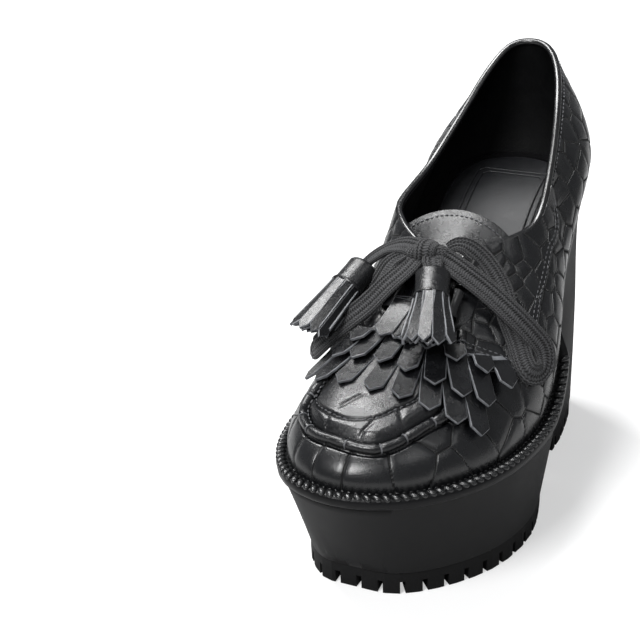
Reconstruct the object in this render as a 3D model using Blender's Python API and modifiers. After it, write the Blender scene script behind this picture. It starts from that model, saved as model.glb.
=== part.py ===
# Left platform shoe: moc-toe upper with a tied lace, on a platform sole and a block heel.
# Metres, +Z up. The toe points to -Y, the outer (lateral) side is +X.
# The origin is on the floor, at the middle of the forefoot tread.
import math

import bpy
import bmesh
import numpy as np
from mathutils import Vector
from mathutils.bvhtree import BVHTree

# Driving dimensions
SHOE_LENGTH = 0.215          # toe tip to back of the heel, on the platform's top edge
BALL_WIDTH = 0.0965          # widest place of the same outline
PLATFORM_TOP = 0.0455        # floor to the top of the platform under the ball
TOE_SPRING = 0.0035          # extra rise of the platform's top at the toe
SPRING_END = 0.33            # where that rise begins, as a share of SHOE_LENGTH
SEAT_TOP = 0.1125            # floor to the heel seat at its back
COLLAR_TOP = 0.167           # floor to the top line at the back
ORIGIN_FROM_TOE = 0.070      # toe tip to the middle of the forefoot tread
OUTSOLE_HEIGHT = 0.009       # lugged rubber under platform and heel
LUG_DEPTH = 0.0052           # height of the notches between lugs
LUG_REACH = 0.0075           # how far a notch runs in under the sole
LUG_GAP = 0.0021             # width of a notch
LUG_PITCH = 0.0088           # from one notch to the next
SHANK_THICKNESS = 0.0075     # arch between platform and heel
HEEL_BREAST = 0.150          # toe tip to the heel's front face
PLATFORM_END = 0.128         # toe tip to the back end of the platform's flat bottom
ARCH_RUN = 0.014             # along which the platform's bottom turns up to the arch
TOE_TAPER = 0.0195           # how far the platform's wall runs in at the toe tip
SIDE_TAPER_OUTER = 0.0035    # the same at the outer side
SIDE_TAPER_INNER = 0.0065    # the same at the inner side
WAIST_TAPER = 0.0055         # what the sides' taper gains towards the waist
WAIST_RANGE = (0.30, 0.62)   # where it is gained, as shares of SHOE_LENGTH
TOE_TAPER_FALL = 1.3         # how fast the toe's taper fades round to the sides
ARCH_TAPER = 0.35            # share of the taper that the arch's wall keeps
HEEL_TAPER_SIDE = 0.0048     # how far the heel's wall runs in at its sides
HEEL_TAPER_BACK = 0.0066     # the same at its back
BREAST_RUN = 0.006           # the heel's sides run straight back from its breast for this far
TREAD_INSET = 0.0005         # how far the treads are set in from platform and heel
UPPER_WALL = 0.0020          # leather and lining
WELT_WIDTH = 0.0062
WELT_HEIGHT = 0.0040
WELT_OVERHANG = 0.0012       # how far the welt stands out past the platform
UPPER_INSET = 0.0034         # from the platform's edge in to the upper's lower edge
INSOLE_THICKNESS = 0.0030
TONGUE_THICKNESS = 0.0018
TONGUE_HALF_WIDTH = 0.0235
TONGUE_FOOT = 0.55           # its width at the foot, as a share
TONGUE_WIDENS = 0.6          # share of its length where it reaches full width
TONGUE_ROUND = 0.62          # how deep its round end is, as a share of TONGUE_HALF_WIDTH
FRINGE_THICKNESS = 0.0011
FRINGE_GAP = 0.0007          # between its tiers
FRINGE_POINT = 0.0050        # how far a scale's tip stands out past its shoulders
FRINGE_CURVE = 5.4           # 1/m, the tips' line bends back to the sides
FRINGE_MIDDLE = 0.017        # outward from the middle line, where it reaches furthest
FRINGE_FAN = 0.62            # a tier's width where it starts, as a share of that at its tips
LOOP_RADIUS = 0.0030         # rolled leather lace loops
LOOP_EDGE = 0.0016           # from the slit's edge to a loop
LOOP_WALL = 0.0009
LOOP_LENGTH = 0.0100
LACE_RADIUS = 0.0024         # of the bunched lace
LACE_BAR_WIDTH = 0.0050      # of the lace where it crosses over the throat
LACE_BAR_THICKNESS = 0.0018
LACE_BAR_REACH = 0.86        # share of the slit's half width that a bar spans
LACE_BAR_RUN = 0.3           # share of a loop's length that it runs past the loop's middle
KNOT_SIZE = (0.0075, 0.0052, 0.0046)
TASSEL_BAND_RADIUS = 0.0064
TASSEL_BAND_LENGTH = 0.0125
TASSEL_BAND_STEP = 0.0012    # how far the band stands out past the strips' root
TASSEL_BAND_EDGE = 0.0002    # run of that step along the tassel
TASSEL_FLARE = 0.0100        # half width of a tassel at the tips of its strips
TASSEL_FLATNESS = 0.62
TASSEL_POINT = 0.0035        # how far a strip's tip stands out past its shoulders
TASSEL_STRIPS = 9
CLEARANCE = 0.0003           # between pieces that touch
MARGIN = 0.0010              # between soft pieces that lie on each other

# Outline of the platform's top edge, one row for each station of the shoe, toe tip first,
# then the outer side to the back. Lengths are shares of SHOE_LENGTH and BALL_WIDTH.
# The same rows carry the upper: where its top line lies, and how the wall between swells.
#   along, across: the outline
#   top_across, top_along, top_rise: the top line, its rise as a share of platform to collar
#   rise, swell: the lower wall goes up and out, as shares of platform to collar
#   reach, top_swell, drop: the upper wall comes to the top line from reach x (the way to
#   the lower edge), swollen outward and dropped by these shares
COLUMNS = ("along", "across", "top_across", "top_along", "top_rise",
           "rise", "swell", "reach", "top_swell", "drop")
TOE_ROW = (0.012, -0.050, 0.000, 0.307, 0.318, 0.115, 0.012, 0.55, 0.000, 0.107)
OUTER_ROWS = (
    (0.040, 0.166, 0.056, 0.330, 0.336, 0.125, 0.016, 0.50, 0.000, 0.115),
    (0.125, 0.352, 0.078, 0.400, 0.411, 0.135, 0.024, 0.48, 0.000, 0.160),
    (0.240, 0.477, 0.093, 0.470, 0.514, 0.130, 0.024, 0.50, 0.000, 0.230),
    (0.385, 0.526, 0.225, 0.534, 0.545, 0.175, 0.024, 0.45, 0.008, 0.210),
    (0.520, 0.502, 0.311, 0.604, 0.580, 0.195, 0.024, 0.40, 0.012, 0.190),
    (0.660, 0.424, 0.295, 0.707, 0.705, 0.140, 0.034, 0.30, 0.030, 0.165),
    (0.800, 0.389, 0.240, 0.818, 0.858, 0.130, 0.062, 0.30, 0.066, 0.125),
    (0.900, 0.345, 0.178, 0.902, 0.945, 0.130, 0.056, 0.30, 0.058, 0.130),
    (0.968, 0.225, 0.098, 0.960, 0.988, 0.135, 0.048, 0.30, 0.040, 0.130),
)
BACK_ROW = (1.000, 0.000, 0.000, 0.979, 1.000, 0.140, 0.044, 0.30, 0.034, 0.130)
INNER_ROWS = (
    (0.968, -0.215, -0.098, 0.960, 0.984, 0.135, 0.046, 0.30, 0.040, 0.130),
    (0.900, -0.318, -0.158, 0.902, 0.915, 0.130, 0.050, 0.30, 0.054, 0.130),
    (0.800, -0.360, -0.214, 0.814, 0.790, 0.125, 0.054, 0.30, 0.058, 0.120),
    (0.655, -0.357, -0.272, 0.707, 0.660, 0.125, 0.036, 0.30, 0.024, 0.140),
    (0.520, -0.405, -0.306, 0.596, 0.585, 0.175, 0.020, 0.40, 0.010, 0.170),
    (0.400, -0.466, -0.225, 0.530, 0.555, 0.170, 0.020, 0.45, 0.006, 0.205),
    (0.270, -0.470, -0.093, 0.470, 0.514, 0.130, 0.020, 0.50, 0.000, 0.225),
    (0.140, -0.405, -0.078, 0.400, 0.411, 0.135, 0.020, 0.48, 0.000, 0.160),
    (0.045, -0.262, -0.056, 0.330, 0.336, 0.125, 0.016, 0.50, 0.000, 0.115),
)
# Rise of the foot bed along the shoe: share of length, share of platform to heel seat
BED_RISE = ((0.00, 0.0), (0.34, 0.0), (0.42, 0.02), (0.50, 0.11), (0.58, 0.30), (0.66, 0.54),
            (0.74, 0.76), (0.82, 0.90), (0.90, 0.965), (1.00, 1.0))
# Wall of the heel block: share of its height from the top, share of its taper
HEEL_WALL = ((0.0, 0.0), (0.10, 0.42), (0.26, 0.70), (0.55, 0.88), (1.0, 1.0))
# Slope of the tongue over the instep, and where it lies, as shares of SHOE_LENGTH
TONGUE_SLOPE = 0.66
TONGUE_SLOPE_UNDER = 1.00    # the same under the vamp, below the throat
TONGUE_START = 0.400
TONGUE_END = 0.560
THROAT_ALONG = 0.474         # the throat's corner, which the tongue passes under
THROAT_RISE = 0.514          # its height, as a share of platform to collar
TONGUE_BEND = 20.0           # 1/m, how it curves down to its sides
# Tiers of the vamp's fringe, lowest first: the furthest tip and where the tier starts,
# as shares of SHOE_LENGTH, both sides' half widths as shares of BALL_WIDTH, and its scales
FRINGE_TIERS = ((0.176, 0.338, 0.395, 0.400, 8), (0.228, 0.350, 0.370, 0.340, 7),
                (0.280, 0.345, 0.150, 0.390, 5))
# Lace loops on each side of the throat, as shares of SHOE_LENGTH
LOOP_PLACES = (0.386, 0.440)
# The bow, in shoe coordinates: across, along from the toe tip, height. Chosen points.
KNOT_PLACE = (-0.0030, 0.0935, 0.1114)
BOW_OUTER = ((0.0064, 0.0955, 0.1135), (0.0115, 0.0978, 0.1160), (0.0180, 0.0990, 0.1142),
             (0.0262, 0.0996, 0.1050), (0.0342, 0.0990, 0.0950), (0.0415, 0.0975, 0.0858),
             (0.0475, 0.0948, 0.0765), (0.0500, 0.0905, 0.0710), (0.0485, 0.0865, 0.0735),
             (0.0425, 0.0848, 0.0810), (0.0345, 0.0850, 0.0890), (0.0258, 0.0862, 0.0975),
             (0.0170, 0.0880, 0.1062), (0.0105, 0.0895, 0.1095), (0.0062, 0.0910, 0.1098))
BOW_INNER = ((-0.0118, 0.0908, 0.1098), (-0.0165, 0.0880, 0.1068), (-0.0225, 0.0868, 0.0970),
             (-0.0292, 0.0838, 0.0882), (-0.0352, 0.0798, 0.0812), (-0.0400, 0.0752, 0.0755),
             (-0.0418, 0.0708, 0.0732), (-0.0382, 0.0678, 0.0774), (-0.0312, 0.0692, 0.0848),
             (-0.0215, 0.0745, 0.0935), (-0.0140, 0.0795, 0.1018), (-0.0088, 0.0862, 0.1068))
LACE_END_INNER = ((-0.0112, 0.0965, 0.1135), (-0.0150, 0.0985, 0.1145), (-0.0200, 0.0998, 0.1125),
                  (-0.0252, 0.0992, 0.1078), (-0.0286, 0.0972, 0.1038), (-0.0301, 0.0944, 0.1018))
LACE_END_FRONT = ((0.0011, 0.0883, 0.1108), (0.0022, 0.0858, 0.1094), (0.0029, 0.0839, 0.1081))
# Tassels: the middle of the band's top, and the middle of the tips
TASSEL_INNER = ((-0.0302, 0.0940, 0.1015), (-0.0410, 0.0580, 0.0880))
TASSEL_FRONT = ((0.0030, 0.0835, 0.1079), (0.0134, 0.0530, 0.0922))
# Lugged edge: where notches stop near the waist, as a share of SHOE_LENGTH
LUG_END = 0.56

RING_STEPS = 3               # columns of the rings between two rows of the table
FRINGE_STEPS = 5             # rows of a tier of fringe, from its start to its tips
ROUND_SHARE = 0.96           # of a full half circle, so that its end isn't a sliver
WALL_STEPS = 10              # rows of the upper between its lower edge and its top line


def spline(values, steps, closed=True):
    """Points on a smooth curve through the values, steps for each span."""
    values = np.asarray(values, float)
    count = len(values)
    found = []
    for i in range(count if closed else count - 1):
        if closed:
            a, b, c, d = (values[(i + k) % count] for k in (-1, 0, 1, 2))
        else:
            a, b, c, d = (values[min(max(i + k, 0), count - 1)] for k in (-1, 0, 1, 2))
        for step in range(steps):
            t = step / steps
            found.append(0.5 * (2 * b + (c - a) * t + (2 * a - 5 * b + 4 * c - d) * t * t
                                + (3 * b - 3 * c + d - a) * t ** 3))
    if not closed:
        found.append(values[-1])
    return np.array(found)


def smooth(low, high, value):
    """0 below low, 1 above high, and an even turn between."""
    t = min(max((value - low) / (high - low), 0.0), 1.0)
    return t * t * (3 - 2 * t)


BED_CURVE = spline(BED_RISE, 8, closed=False)
RISE_SPAN = COLLAR_TOP - PLATFORM_TOP


def bed(along):
    """Height of the foot bed, the top of the sole, at a distance from the toe tip."""
    share = along / SHOE_LENGTH
    rise = np.interp(share, BED_CURVE[:, 0], BED_CURVE[:, 1])
    spring = TOE_SPRING * max(0.0, 1 - share / SPRING_END) ** 2
    return PLATFORM_TOP + spring + rise * (SEAT_TOP - PLATFORM_TOP)


def world(across, along, height):
    """Shoe coordinates to the part's own frame."""
    return Vector((across, along - ORIGIN_FROM_TOE, height))


STATIONS = spline((TOE_ROW,) + OUTER_ROWS + (BACK_ROW,) + INNER_ROWS, RING_STEPS)
COLUMN = {name: STATIONS[:, i] for i, name in enumerate(COLUMNS)}
EDGE = np.column_stack([COLUMN["across"] * BALL_WIDTH, COLUMN["along"] * SHOE_LENGTH])
RING = len(EDGE)


def edge_normals(points):
    """Outward directions of a closed outline, in plan."""
    tangent = np.roll(points, -1, axis=0) - np.roll(points, 1, axis=0)
    normal = np.column_stack([tangent[:, 1], -tangent[:, 0]])
    normal /= np.linalg.norm(normal, axis=1)[:, None]
    middle = points.mean(axis=0)
    outward = np.sum(normal * (points - middle), axis=1).sum()
    return normal if outward > 0 else -normal


NORMALS = edge_normals(EDGE)


def inset(distance):
    """The outline moved in by a distance, or by one distance for each of its points."""
    return EDGE - NORMALS * np.reshape(distance, (-1, 1))


def new_material(name, colour, roughness):
    material = bpy.data.materials.new(name)
    material.use_nodes = True
    shader = material.node_tree.nodes["Principled BSDF"]
    shader.inputs["Base Color"].default_value = (*colour, 1)
    shader.inputs["Roughness"].default_value = roughness
    return material


def finish(name, mesh, material, smooth_angle=40):
    """Gives a bmesh or a mesh its object, material and shading."""
    if isinstance(mesh, bmesh.types.BMesh):
        bmesh.ops.recalc_face_normals(mesh, faces=mesh.faces)
        data = bpy.data.meshes.new(name)
        mesh.to_mesh(data)
        mesh.free()
    else:
        data = mesh
    data.materials.append(material)
    data.shade_smooth()
    data.set_sharp_from_angle(angle=math.radians(smooth_angle))
    part = bpy.data.objects.new(name, data)
    parts.objects.link(part)
    return part


def sheet_grid(mesh, rows, wrap=False):
    """Faces between rows of points, which may close on themselves."""
    grid = [[mesh.verts.new(point) for point in row] for row in rows]
    for low, high in zip(grid, grid[1:]):
        last = len(low) if wrap else len(low) - 1
        for i in range(last):
            j = (i + 1) % len(low)
            mesh.faces.new((low[i], low[j], high[j], high[i]))
    return grid


def tube_between(mesh, lower, upper):
    """Closed solid between two open sheets of equal size."""
    a = sheet_grid(mesh, lower)
    b = sheet_grid(mesh, upper)
    rim_a = a[0] + [row[-1] for row in a[1:-1]] + a[-1][::-1] + [row[0] for row in a[-2:0:-1]]
    rim_b = b[0] + [row[-1] for row in b[1:-1]] + b[-1][::-1] + [row[0] for row in b[-2:0:-1]]
    for i in range(len(rim_a)):
        j = (i + 1) % len(rim_a)
        mesh.faces.new((rim_a[i], rim_a[j], rim_b[j], rim_b[i]))


def lofted_block(name, rings, material):
    """Solid between rings whose points run from one side round to the other.
    Top and bottom are strips across, from each point to the one opposite."""
    mesh = bmesh.new()
    grid = sheet_grid(mesh, rings, wrap=True)
    for ring in (grid[0], grid[-1]):
        count = len(ring)
        for i in range((count - 1) // 2):
            corners = (ring[i], ring[i + 1], ring[count - 2 - i], ring[count - 1 - i])
            corners = tuple(dict.fromkeys(corners))
            if len(corners) > 2:
                mesh.faces.new(corners)
    bmesh.ops.triangulate(mesh, faces=[f for f in mesh.faces if len(f.verts) > 3])
    return finish(name, mesh, material)


def upper_point(column, share):
    """A point of the upper's outer face: 0 is the lower edge, 1 the top line."""
    base = EDGE[column] - NORMALS[column] * UPPER_INSET
    foot = Vector((base[0], base[1], bed(EDGE[column][1]) + WELT_HEIGHT + CLEARANCE))
    out = Vector((*NORMALS[column], 0))
    value = {name: COLUMN[name][column] for name in COLUMNS}
    top = Vector((value["top_across"] * BALL_WIDTH, value["top_along"] * SHOE_LENGTH,
                  PLATFORM_TOP + value["top_rise"] * RISE_SPAN))
    low = foot + Vector((0, 0, value["rise"] * RISE_SPAN)) + out * value["swell"] * RISE_SPAN
    back = Vector((foot.x - top.x, foot.y - top.y, 0)) * value["reach"]
    high = top + back + out * value["top_swell"] * RISE_SPAN
    high.z -= value["drop"] * RISE_SPAN
    rest = 1 - share
    point = foot * rest ** 3 + low * 3 * share * rest ** 2
    point += high * 3 * share ** 2 * rest + top * share ** 3
    return world(point.x, point.y, point.z)


def make_upper():
    rows = []
    for step in range(WALL_STEPS + 1):
        share = step / WALL_STEPS
        rows.append([upper_point(column, share) for column in range(RING)])
    mesh = bmesh.new()
    sheet_grid(mesh, rows, wrap=True)
    bmesh.ops.recalc_face_normals(mesh, faces=mesh.faces)
    lowest = min(mesh.faces, key=lambda face: face.calc_center_median().y)
    if lowest.normal.y > 0:
        bmesh.ops.reverse_faces(mesh, faces=mesh.faces)
    surface = BVHTree.FromBMesh(mesh)
    data = bpy.data.meshes.new("upper")
    mesh.to_mesh(data)
    mesh.free()
    part = finish("upper", data, leather)
    wall = part.modifiers.new("wall", "SOLIDIFY")
    wall.thickness = UPPER_WALL
    wall.offset = -1
    wall.use_even_offset = True
    wall.thickness_clamp = 0
    return surface


def make_platform():
    """Platform and arch in one block, from the toe to the heel's breast."""
    columns = [i % RING for i in range(-RING // 2, RING // 2 + 1)
               if EDGE[i % RING][1] < HEEL_BREAST - CLEARANCE]
    forward = np.maximum(0, -NORMALS[:, 1])
    side = np.where(NORMALS[:, 0] > 0, SIDE_TAPER_OUTER, SIDE_TAPER_INNER)
    waist_share = np.array([smooth(*WAIST_RANGE, p[1] / SHOE_LENGTH) for p in EDGE])
    side = side + WAIST_TAPER * waist_share
    taper = side + (TOE_TAPER - side) * forward ** TOE_TAPER_FALL
    bottom = inset(taper)
    rings = []
    for level in (0.0, 0.5, 1.0):
        ring = []
        for i in columns:
            along = EDGE[i][1]
            end = HEEL_BREAST - CLEARANCE
            flat = OUTSOLE_HEIGHT + CLEARANCE
            arch = bed(along) - CLEARANCE - SHANK_THICKNESS
            arched = smooth(PLATFORM_END, PLATFORM_END + ARCH_RUN, along)
            lowest = flat + (arch - flat) * arched
            height = bed(along) - CLEARANCE
            kept = 1 - (1 - ARCH_TAPER) * arched
            place = EDGE[i] + (bottom[i] - EDGE[i]) * level * kept
            ring.append(world(place[0], min(place[1], end), height + (lowest - height) * level))
        rings.append(ring)
    lofted_block("platform", rings, platform_matte)
    return bottom


def lugged_sole(name, outline, heel_side):
    """Rubber tread piece with notches all round its free edge."""
    count = len(outline)
    mesh = bmesh.new()
    for height in (0.0, OUTSOLE_HEIGHT):
        ring = [mesh.verts.new(world(p[0], p[1], height)) for p in outline]
        mesh.faces.new(ring)
    mesh.verts.ensure_lookup_table()
    for i in range(count):
        j = (i + 1) % count
        mesh.faces.new((mesh.verts[i], mesh.verts[j], mesh.verts[count + j], mesh.verts[count + i]))
    part = finish(name, mesh, rubber, 30)
    notch = bmesh.new()
    travelled = 0.0
    wanted = LUG_PITCH / 2
    closed = list(outline) + [outline[0]]
    for start, end in zip(closed, closed[1:]):
        step = np.linalg.norm(end - start)
        middle = (start + end) / 2
        free = middle[1] > HEEL_BREAST + LUG_PITCH / 2 if heel_side else middle[1] < LUG_END * SHOE_LENGTH
        while wanted < travelled + step:
            point = start + (end - start) * (wanted - travelled) / step
            wanted += LUG_PITCH
            if not free:
                continue
            angle = math.atan2(end[1] - start[1], end[0] - start[0])
            box = bmesh.ops.create_cube(notch, size=1.0)["verts"]
            bmesh.ops.scale(notch, vec=(LUG_GAP, 2 * LUG_REACH, 2 * LUG_DEPTH), verts=box)
            turn = Vector((math.cos(angle), math.sin(angle), 0))
            for vert in box:
                x, y = vert.co.x, vert.co.y
                vert.co.x = x * turn.x - y * turn.y
                vert.co.y = x * turn.y + y * turn.x
            bmesh.ops.translate(notch, vec=world(point[0], point[1], 0), verts=box)
        travelled += step
    data = bpy.data.meshes.new(name + "_notches")
    notch.to_mesh(data)
    notch.free()
    cutter = bpy.data.objects.new(name + "_notches", data)
    cutter.hide_render = True
    cutter.display_type = "WIRE"
    cutters.objects.link(cutter)
    cut = part.modifiers.new("notches", "BOOLEAN")
    cut.operation = "DIFFERENCE"
    cut.solver = "EXACT"
    cut.use_self = True
    cut.object = cutter


def make_outsole(bottom):
    columns = [i % RING for i in range(-RING // 2, RING // 2 + 1)
               if EDGE[i % RING][1] < PLATFORM_END]
    edge = np.array([bottom[i] - NORMALS[i] * TREAD_INSET for i in columns])
    lugged_sole("outsole", edge, False)


def heel_ring(taper_share, columns, tip):
    """Outline of the heel at a share of its taper, cut straight at the breast."""
    back = np.maximum(0, NORMALS[:, 1]) ** 2
    taper = HEEL_TAPER_SIDE + (HEEL_TAPER_BACK - HEEL_TAPER_SIDE) * back
    moved = inset(taper * taper_share + tip)
    ring = [moved[i] for i in columns]
    for end, nearest in ((0, 1), (-1, -2)):
        ring[end] = np.array([ring[nearest][0], HEEL_BREAST + CLEARANCE])
    return ring


def make_heel():
    free = [i for i in range(RING) if EDGE[i][1] > HEEL_BREAST + BREAST_RUN]
    columns = [free[0] - 1] + free + [free[-1] + 1]
    rings = []
    for share, taper_share in HEEL_WALL:
        ring = []
        for place in heel_ring(taper_share, columns, 0.0):
            top = bed(place[1]) - CLEARANCE
            bottom = OUTSOLE_HEIGHT + CLEARANCE
            ring.append(world(place[0], place[1], top + (bottom - top) * share))
        rings.append(ring)
    lofted_block("heel_block", rings, heel_matte)
    lugged_sole("heel_top_piece", np.array(heel_ring(1.0, columns, TREAD_INSET)), True)


def make_welt():
    """Ribbed rand that runs round the whole sole, under the upper."""
    outer = inset(-WELT_OVERHANG)
    inner = inset(WELT_WIDTH - WELT_OVERHANG)
    profile = ((inner, 0.0), (outer, 0.12), (outer, 0.86), (inner, 1.0))
    mesh = bmesh.new()
    rings = []
    for edge, share in profile:
        rings.append([mesh.verts.new(world(p[0], p[1], bed(EDGE[i][1]) + share * WELT_HEIGHT))
                      for i, p in enumerate(edge)])
    for low, high in zip(rings, rings[1:] + rings[:1]):
        for i in range(RING):
            j = (i + 1) % RING
            mesh.faces.new((low[i], low[j], high[j], high[i]))
    finish("welt", mesh, welt_rubber, 50)


def make_insole():
    edge = inset(WELT_WIDTH - WELT_OVERHANG + CLEARANCE)
    rings = []
    for level in (0.0, 1.0):
        ring = [world(p[0], p[1], bed(EDGE[i][1]) + level * INSOLE_THICKNESS)
                for i, p in enumerate(edge)]
        rings.append(ring)
    mesh = bmesh.new()
    grid = sheet_grid(mesh, rings, wrap=True)
    half = RING // 2
    for ring in grid:
        for i in range(half):
            corners = (ring[i], ring[i + 1], ring[(RING - i - 1) % RING], ring[(RING - i) % RING])
            corners = tuple(dict.fromkeys(corners))
            if len(corners) > 2:
                mesh.faces.new(corners)
    bmesh.ops.triangulate(mesh, faces=[f for f in mesh.faces if len(f.verts) > 3])
    finish("insole", mesh, lining)


def tongue_point(across, along, depth):
    throat = THROAT_ALONG * SHOE_LENGTH
    centre = PLATFORM_TOP + THROAT_RISE * RISE_SPAN - UPPER_WALL - CLEARANCE
    slope = TONGUE_SLOPE if along > throat else TONGUE_SLOPE_UNDER
    height = centre + (along - throat) * slope - TONGUE_BEND * across ** 2
    return world(across, along + depth * 0.5, height - depth)


def make_tongue():
    start, end = TONGUE_START * SHOE_LENGTH, TONGUE_END * SHOE_LENGTH
    lower, upper = [], []
    columns = 12
    rows_along = 8
    for step in range(rows_along + 1):
        share = step / rows_along
        for rows, depth in ((upper, 0.0), (lower, TONGUE_THICKNESS)):
            row = []
            for i in range(columns + 1):
                side = 2 * i / columns - 1
                widening = smooth(0.0, TONGUE_WIDENS, share)
                width = TONGUE_HALF_WIDTH * (TONGUE_FOOT + (1 - TONGUE_FOOT) * widening)
                fall = 1 - math.sqrt(1 - ROUND_SHARE * side ** 2)
                last = end - fall * TONGUE_HALF_WIDTH * TONGUE_ROUND
                row.append(tongue_point(side * width, start + (last - start) * share, depth))
            rows.append(row)
    mesh = bmesh.new()
    tube_between(mesh, lower, upper)
    finish("tongue", mesh, smooth_leather)


def on_upper(surface, across, along, distance):
    """Point above the vamp, straight out from its outer face."""
    start = world(across, along, 2 * COLLAR_TOP)
    place, normal, _, _ = surface.ray_cast(start, Vector((0, 0, -1)))
    if place is None:
        place, normal, _, _ = surface.find_nearest(world(across, along, PLATFORM_TOP + RISE_SPAN / 4))
    if normal.z < 0:
        normal = -normal
    return place + normal * distance


def make_fringe(surface):
    """Tiers of pointed leather scales, lying on each other over the vamp."""
    for tier, (tips, start, inner, outer, scales) in enumerate(FRINGE_TIERS):
        distance = MARGIN + tier * (FRINGE_THICKNESS + FRINGE_GAP)
        lower, upper = [], []
        for step in range(FRINGE_STEPS + 1):
            share = step / FRINGE_STEPS
            for rows, depth in ((lower, distance), (upper, distance + FRINGE_THICKNESS)):
                row = []
                for i in range(2 * scales + 1):
                    side = i / scales - 1
                    wide = (outer if side > 0 else inner) * BALL_WIDTH
                    tip_across = side * wide
                    front = tips * SHOE_LENGTH + FRINGE_CURVE * (tip_across - FRINGE_MIDDLE) ** 2
                    front += 0.0 if i % 2 else FRINGE_POINT
                    across = tip_across * (FRINGE_FAN + (1 - FRINGE_FAN) * share)
                    along = start * SHOE_LENGTH + (front - start * SHOE_LENGTH) * share
                    row.append(on_upper(surface, across, along, depth))
                rows.append(row)
        mesh = bmesh.new()
        tube_between(mesh, lower, upper)
        finish(f"fringe_tier_{tier + 1}", mesh, smooth_leather)


def ring_tube(name, start, end, radius, wall, material, sides=12):
    """Short open tube from one point to another."""
    axis = (end - start).normalized()
    side = axis.orthogonal().normalized()
    other = axis.cross(side)
    mesh = bmesh.new()
    rings = []
    for place, size in ((start, radius), (end, radius), (end, radius - wall), (start, radius - wall)):
        rings.append([mesh.verts.new(place + size * (math.cos(a) * side + math.sin(a) * other))
                      for a in (2 * math.pi * i / sides for i in range(sides))])
    for low, high in zip(rings, rings[1:] + rings[:1]):
        for i in range(sides):
            j = (i + 1) % sides
            mesh.faces.new((low[i], low[j], high[j], high[i]))
    return finish(name, mesh, material)


def throat_half(along):
    """Half width of the slit between the facings."""
    side = [(COLUMN["top_along"][i] * SHOE_LENGTH, COLUMN["top_across"][i] * BALL_WIDTH)
            for i in range(RING // 2)]
    side.sort()
    return float(np.interp(along, [p[0] for p in side], [p[1] for p in side]))


def make_loops(surface):
    for number, place in enumerate(LOOP_PLACES, start=1):
        along = place * SHOE_LENGTH
        for side, sign in (("outer", 1), ("inner", -1)):
            across = sign * (throat_half(along) + LOOP_RADIUS + LOOP_EDGE)
            ends = [on_upper(surface, across, along + k * LOOP_LENGTH / 2,
                             LOOP_RADIUS + 2 * CLEARANCE)
                    for k in (-1, 1)]
            ring_tube(f"lace_loop_{side}_{number}", ends[0], ends[1], LOOP_RADIUS, LOOP_WALL,
                      gloss_leather)


def throat_height(along):
    side = [(COLUMN["top_along"][i] * SHOE_LENGTH, PLATFORM_TOP + COLUMN["top_rise"][i] * RISE_SPAN)
            for i in range(RING // 2)]
    side.sort()
    return float(np.interp(along, [p[0] for p in side], [p[1] for p in side]))


def make_lace_crossing():
    """Two lace bars that cross over the slit, joined in one piece."""
    low, high = (place * SHOE_LENGTH for place in LOOP_PLACES)
    middle = (low + high) / 2
    reach = throat_half(middle) * LACE_BAR_REACH
    run = (high - low) / 2 + LOOP_LENGTH * LACE_BAR_RUN
    length = math.hypot(reach, run)
    turn = math.atan2(reach, run)
    half = LACE_BAR_WIDTH / 2
    sine, cosine = math.sin(turn), math.cos(turn)
    quarter = ((0, half / sine), (length * sine - half * cosine, length * cosine + half * sine),
               (length * sine + half * cosine, length * cosine - half * sine), (half / cosine, 0))
    corner = quarter[:3]
    outline = list(corner) + [quarter[3]] + [(x, -y) for x, y in reversed(corner)]
    outline += [(-x, -y) for x, y in corner[1:]] + [(-quarter[3][0], 0)]
    outline += [(-x, y) for x, y in reversed(corner[1:])]
    slope = (throat_height(high) - throat_height(low)) / (high - low)
    mesh = bmesh.new()
    rings = []
    for lift in (MARGIN, MARGIN + LACE_BAR_THICKNESS):
        rings.append([mesh.verts.new(world(x, middle + y, throat_height(middle) + y * slope + lift))
                      for x, y in outline])
        mesh.faces.new(rings[-1])
    for i in range(len(outline)):
        j = (i + 1) % len(outline)
        mesh.faces.new((rings[0][i], rings[0][j], rings[1][j], rings[1][i]))
    finish("lace_crossing", mesh, woven_cotton)


def make_knot():
    mesh = bmesh.new()
    bmesh.ops.create_uvsphere(mesh, u_segments=12, v_segments=8, radius=1.0)
    bmesh.ops.scale(mesh, vec=KNOT_SIZE, verts=mesh.verts)
    bmesh.ops.translate(mesh, vec=world(*KNOT_PLACE), verts=mesh.verts)
    finish("lace_knot", mesh, woven_cotton)


def make_lace(name, route, steps=2):
    """One free stretch of the lace: a tube along a smooth curve through its route."""
    data = bpy.data.curves.new(name, "CURVE")
    data.dimensions = "3D"
    data.bevel_depth = LACE_RADIUS
    data.bevel_resolution = 2
    data.use_fill_caps = True
    data.render_resolution_u = 0
    points = spline(route, steps, closed=False)
    line = data.splines.new("POLY")
    line.points.add(len(points) - 1)
    for point, place in zip(line.points, points):
        point.co = (*world(*place), 1)
    data.materials.append(woven_cotton)
    part = bpy.data.objects.new(name, data)
    parts.objects.link(part)


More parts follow.
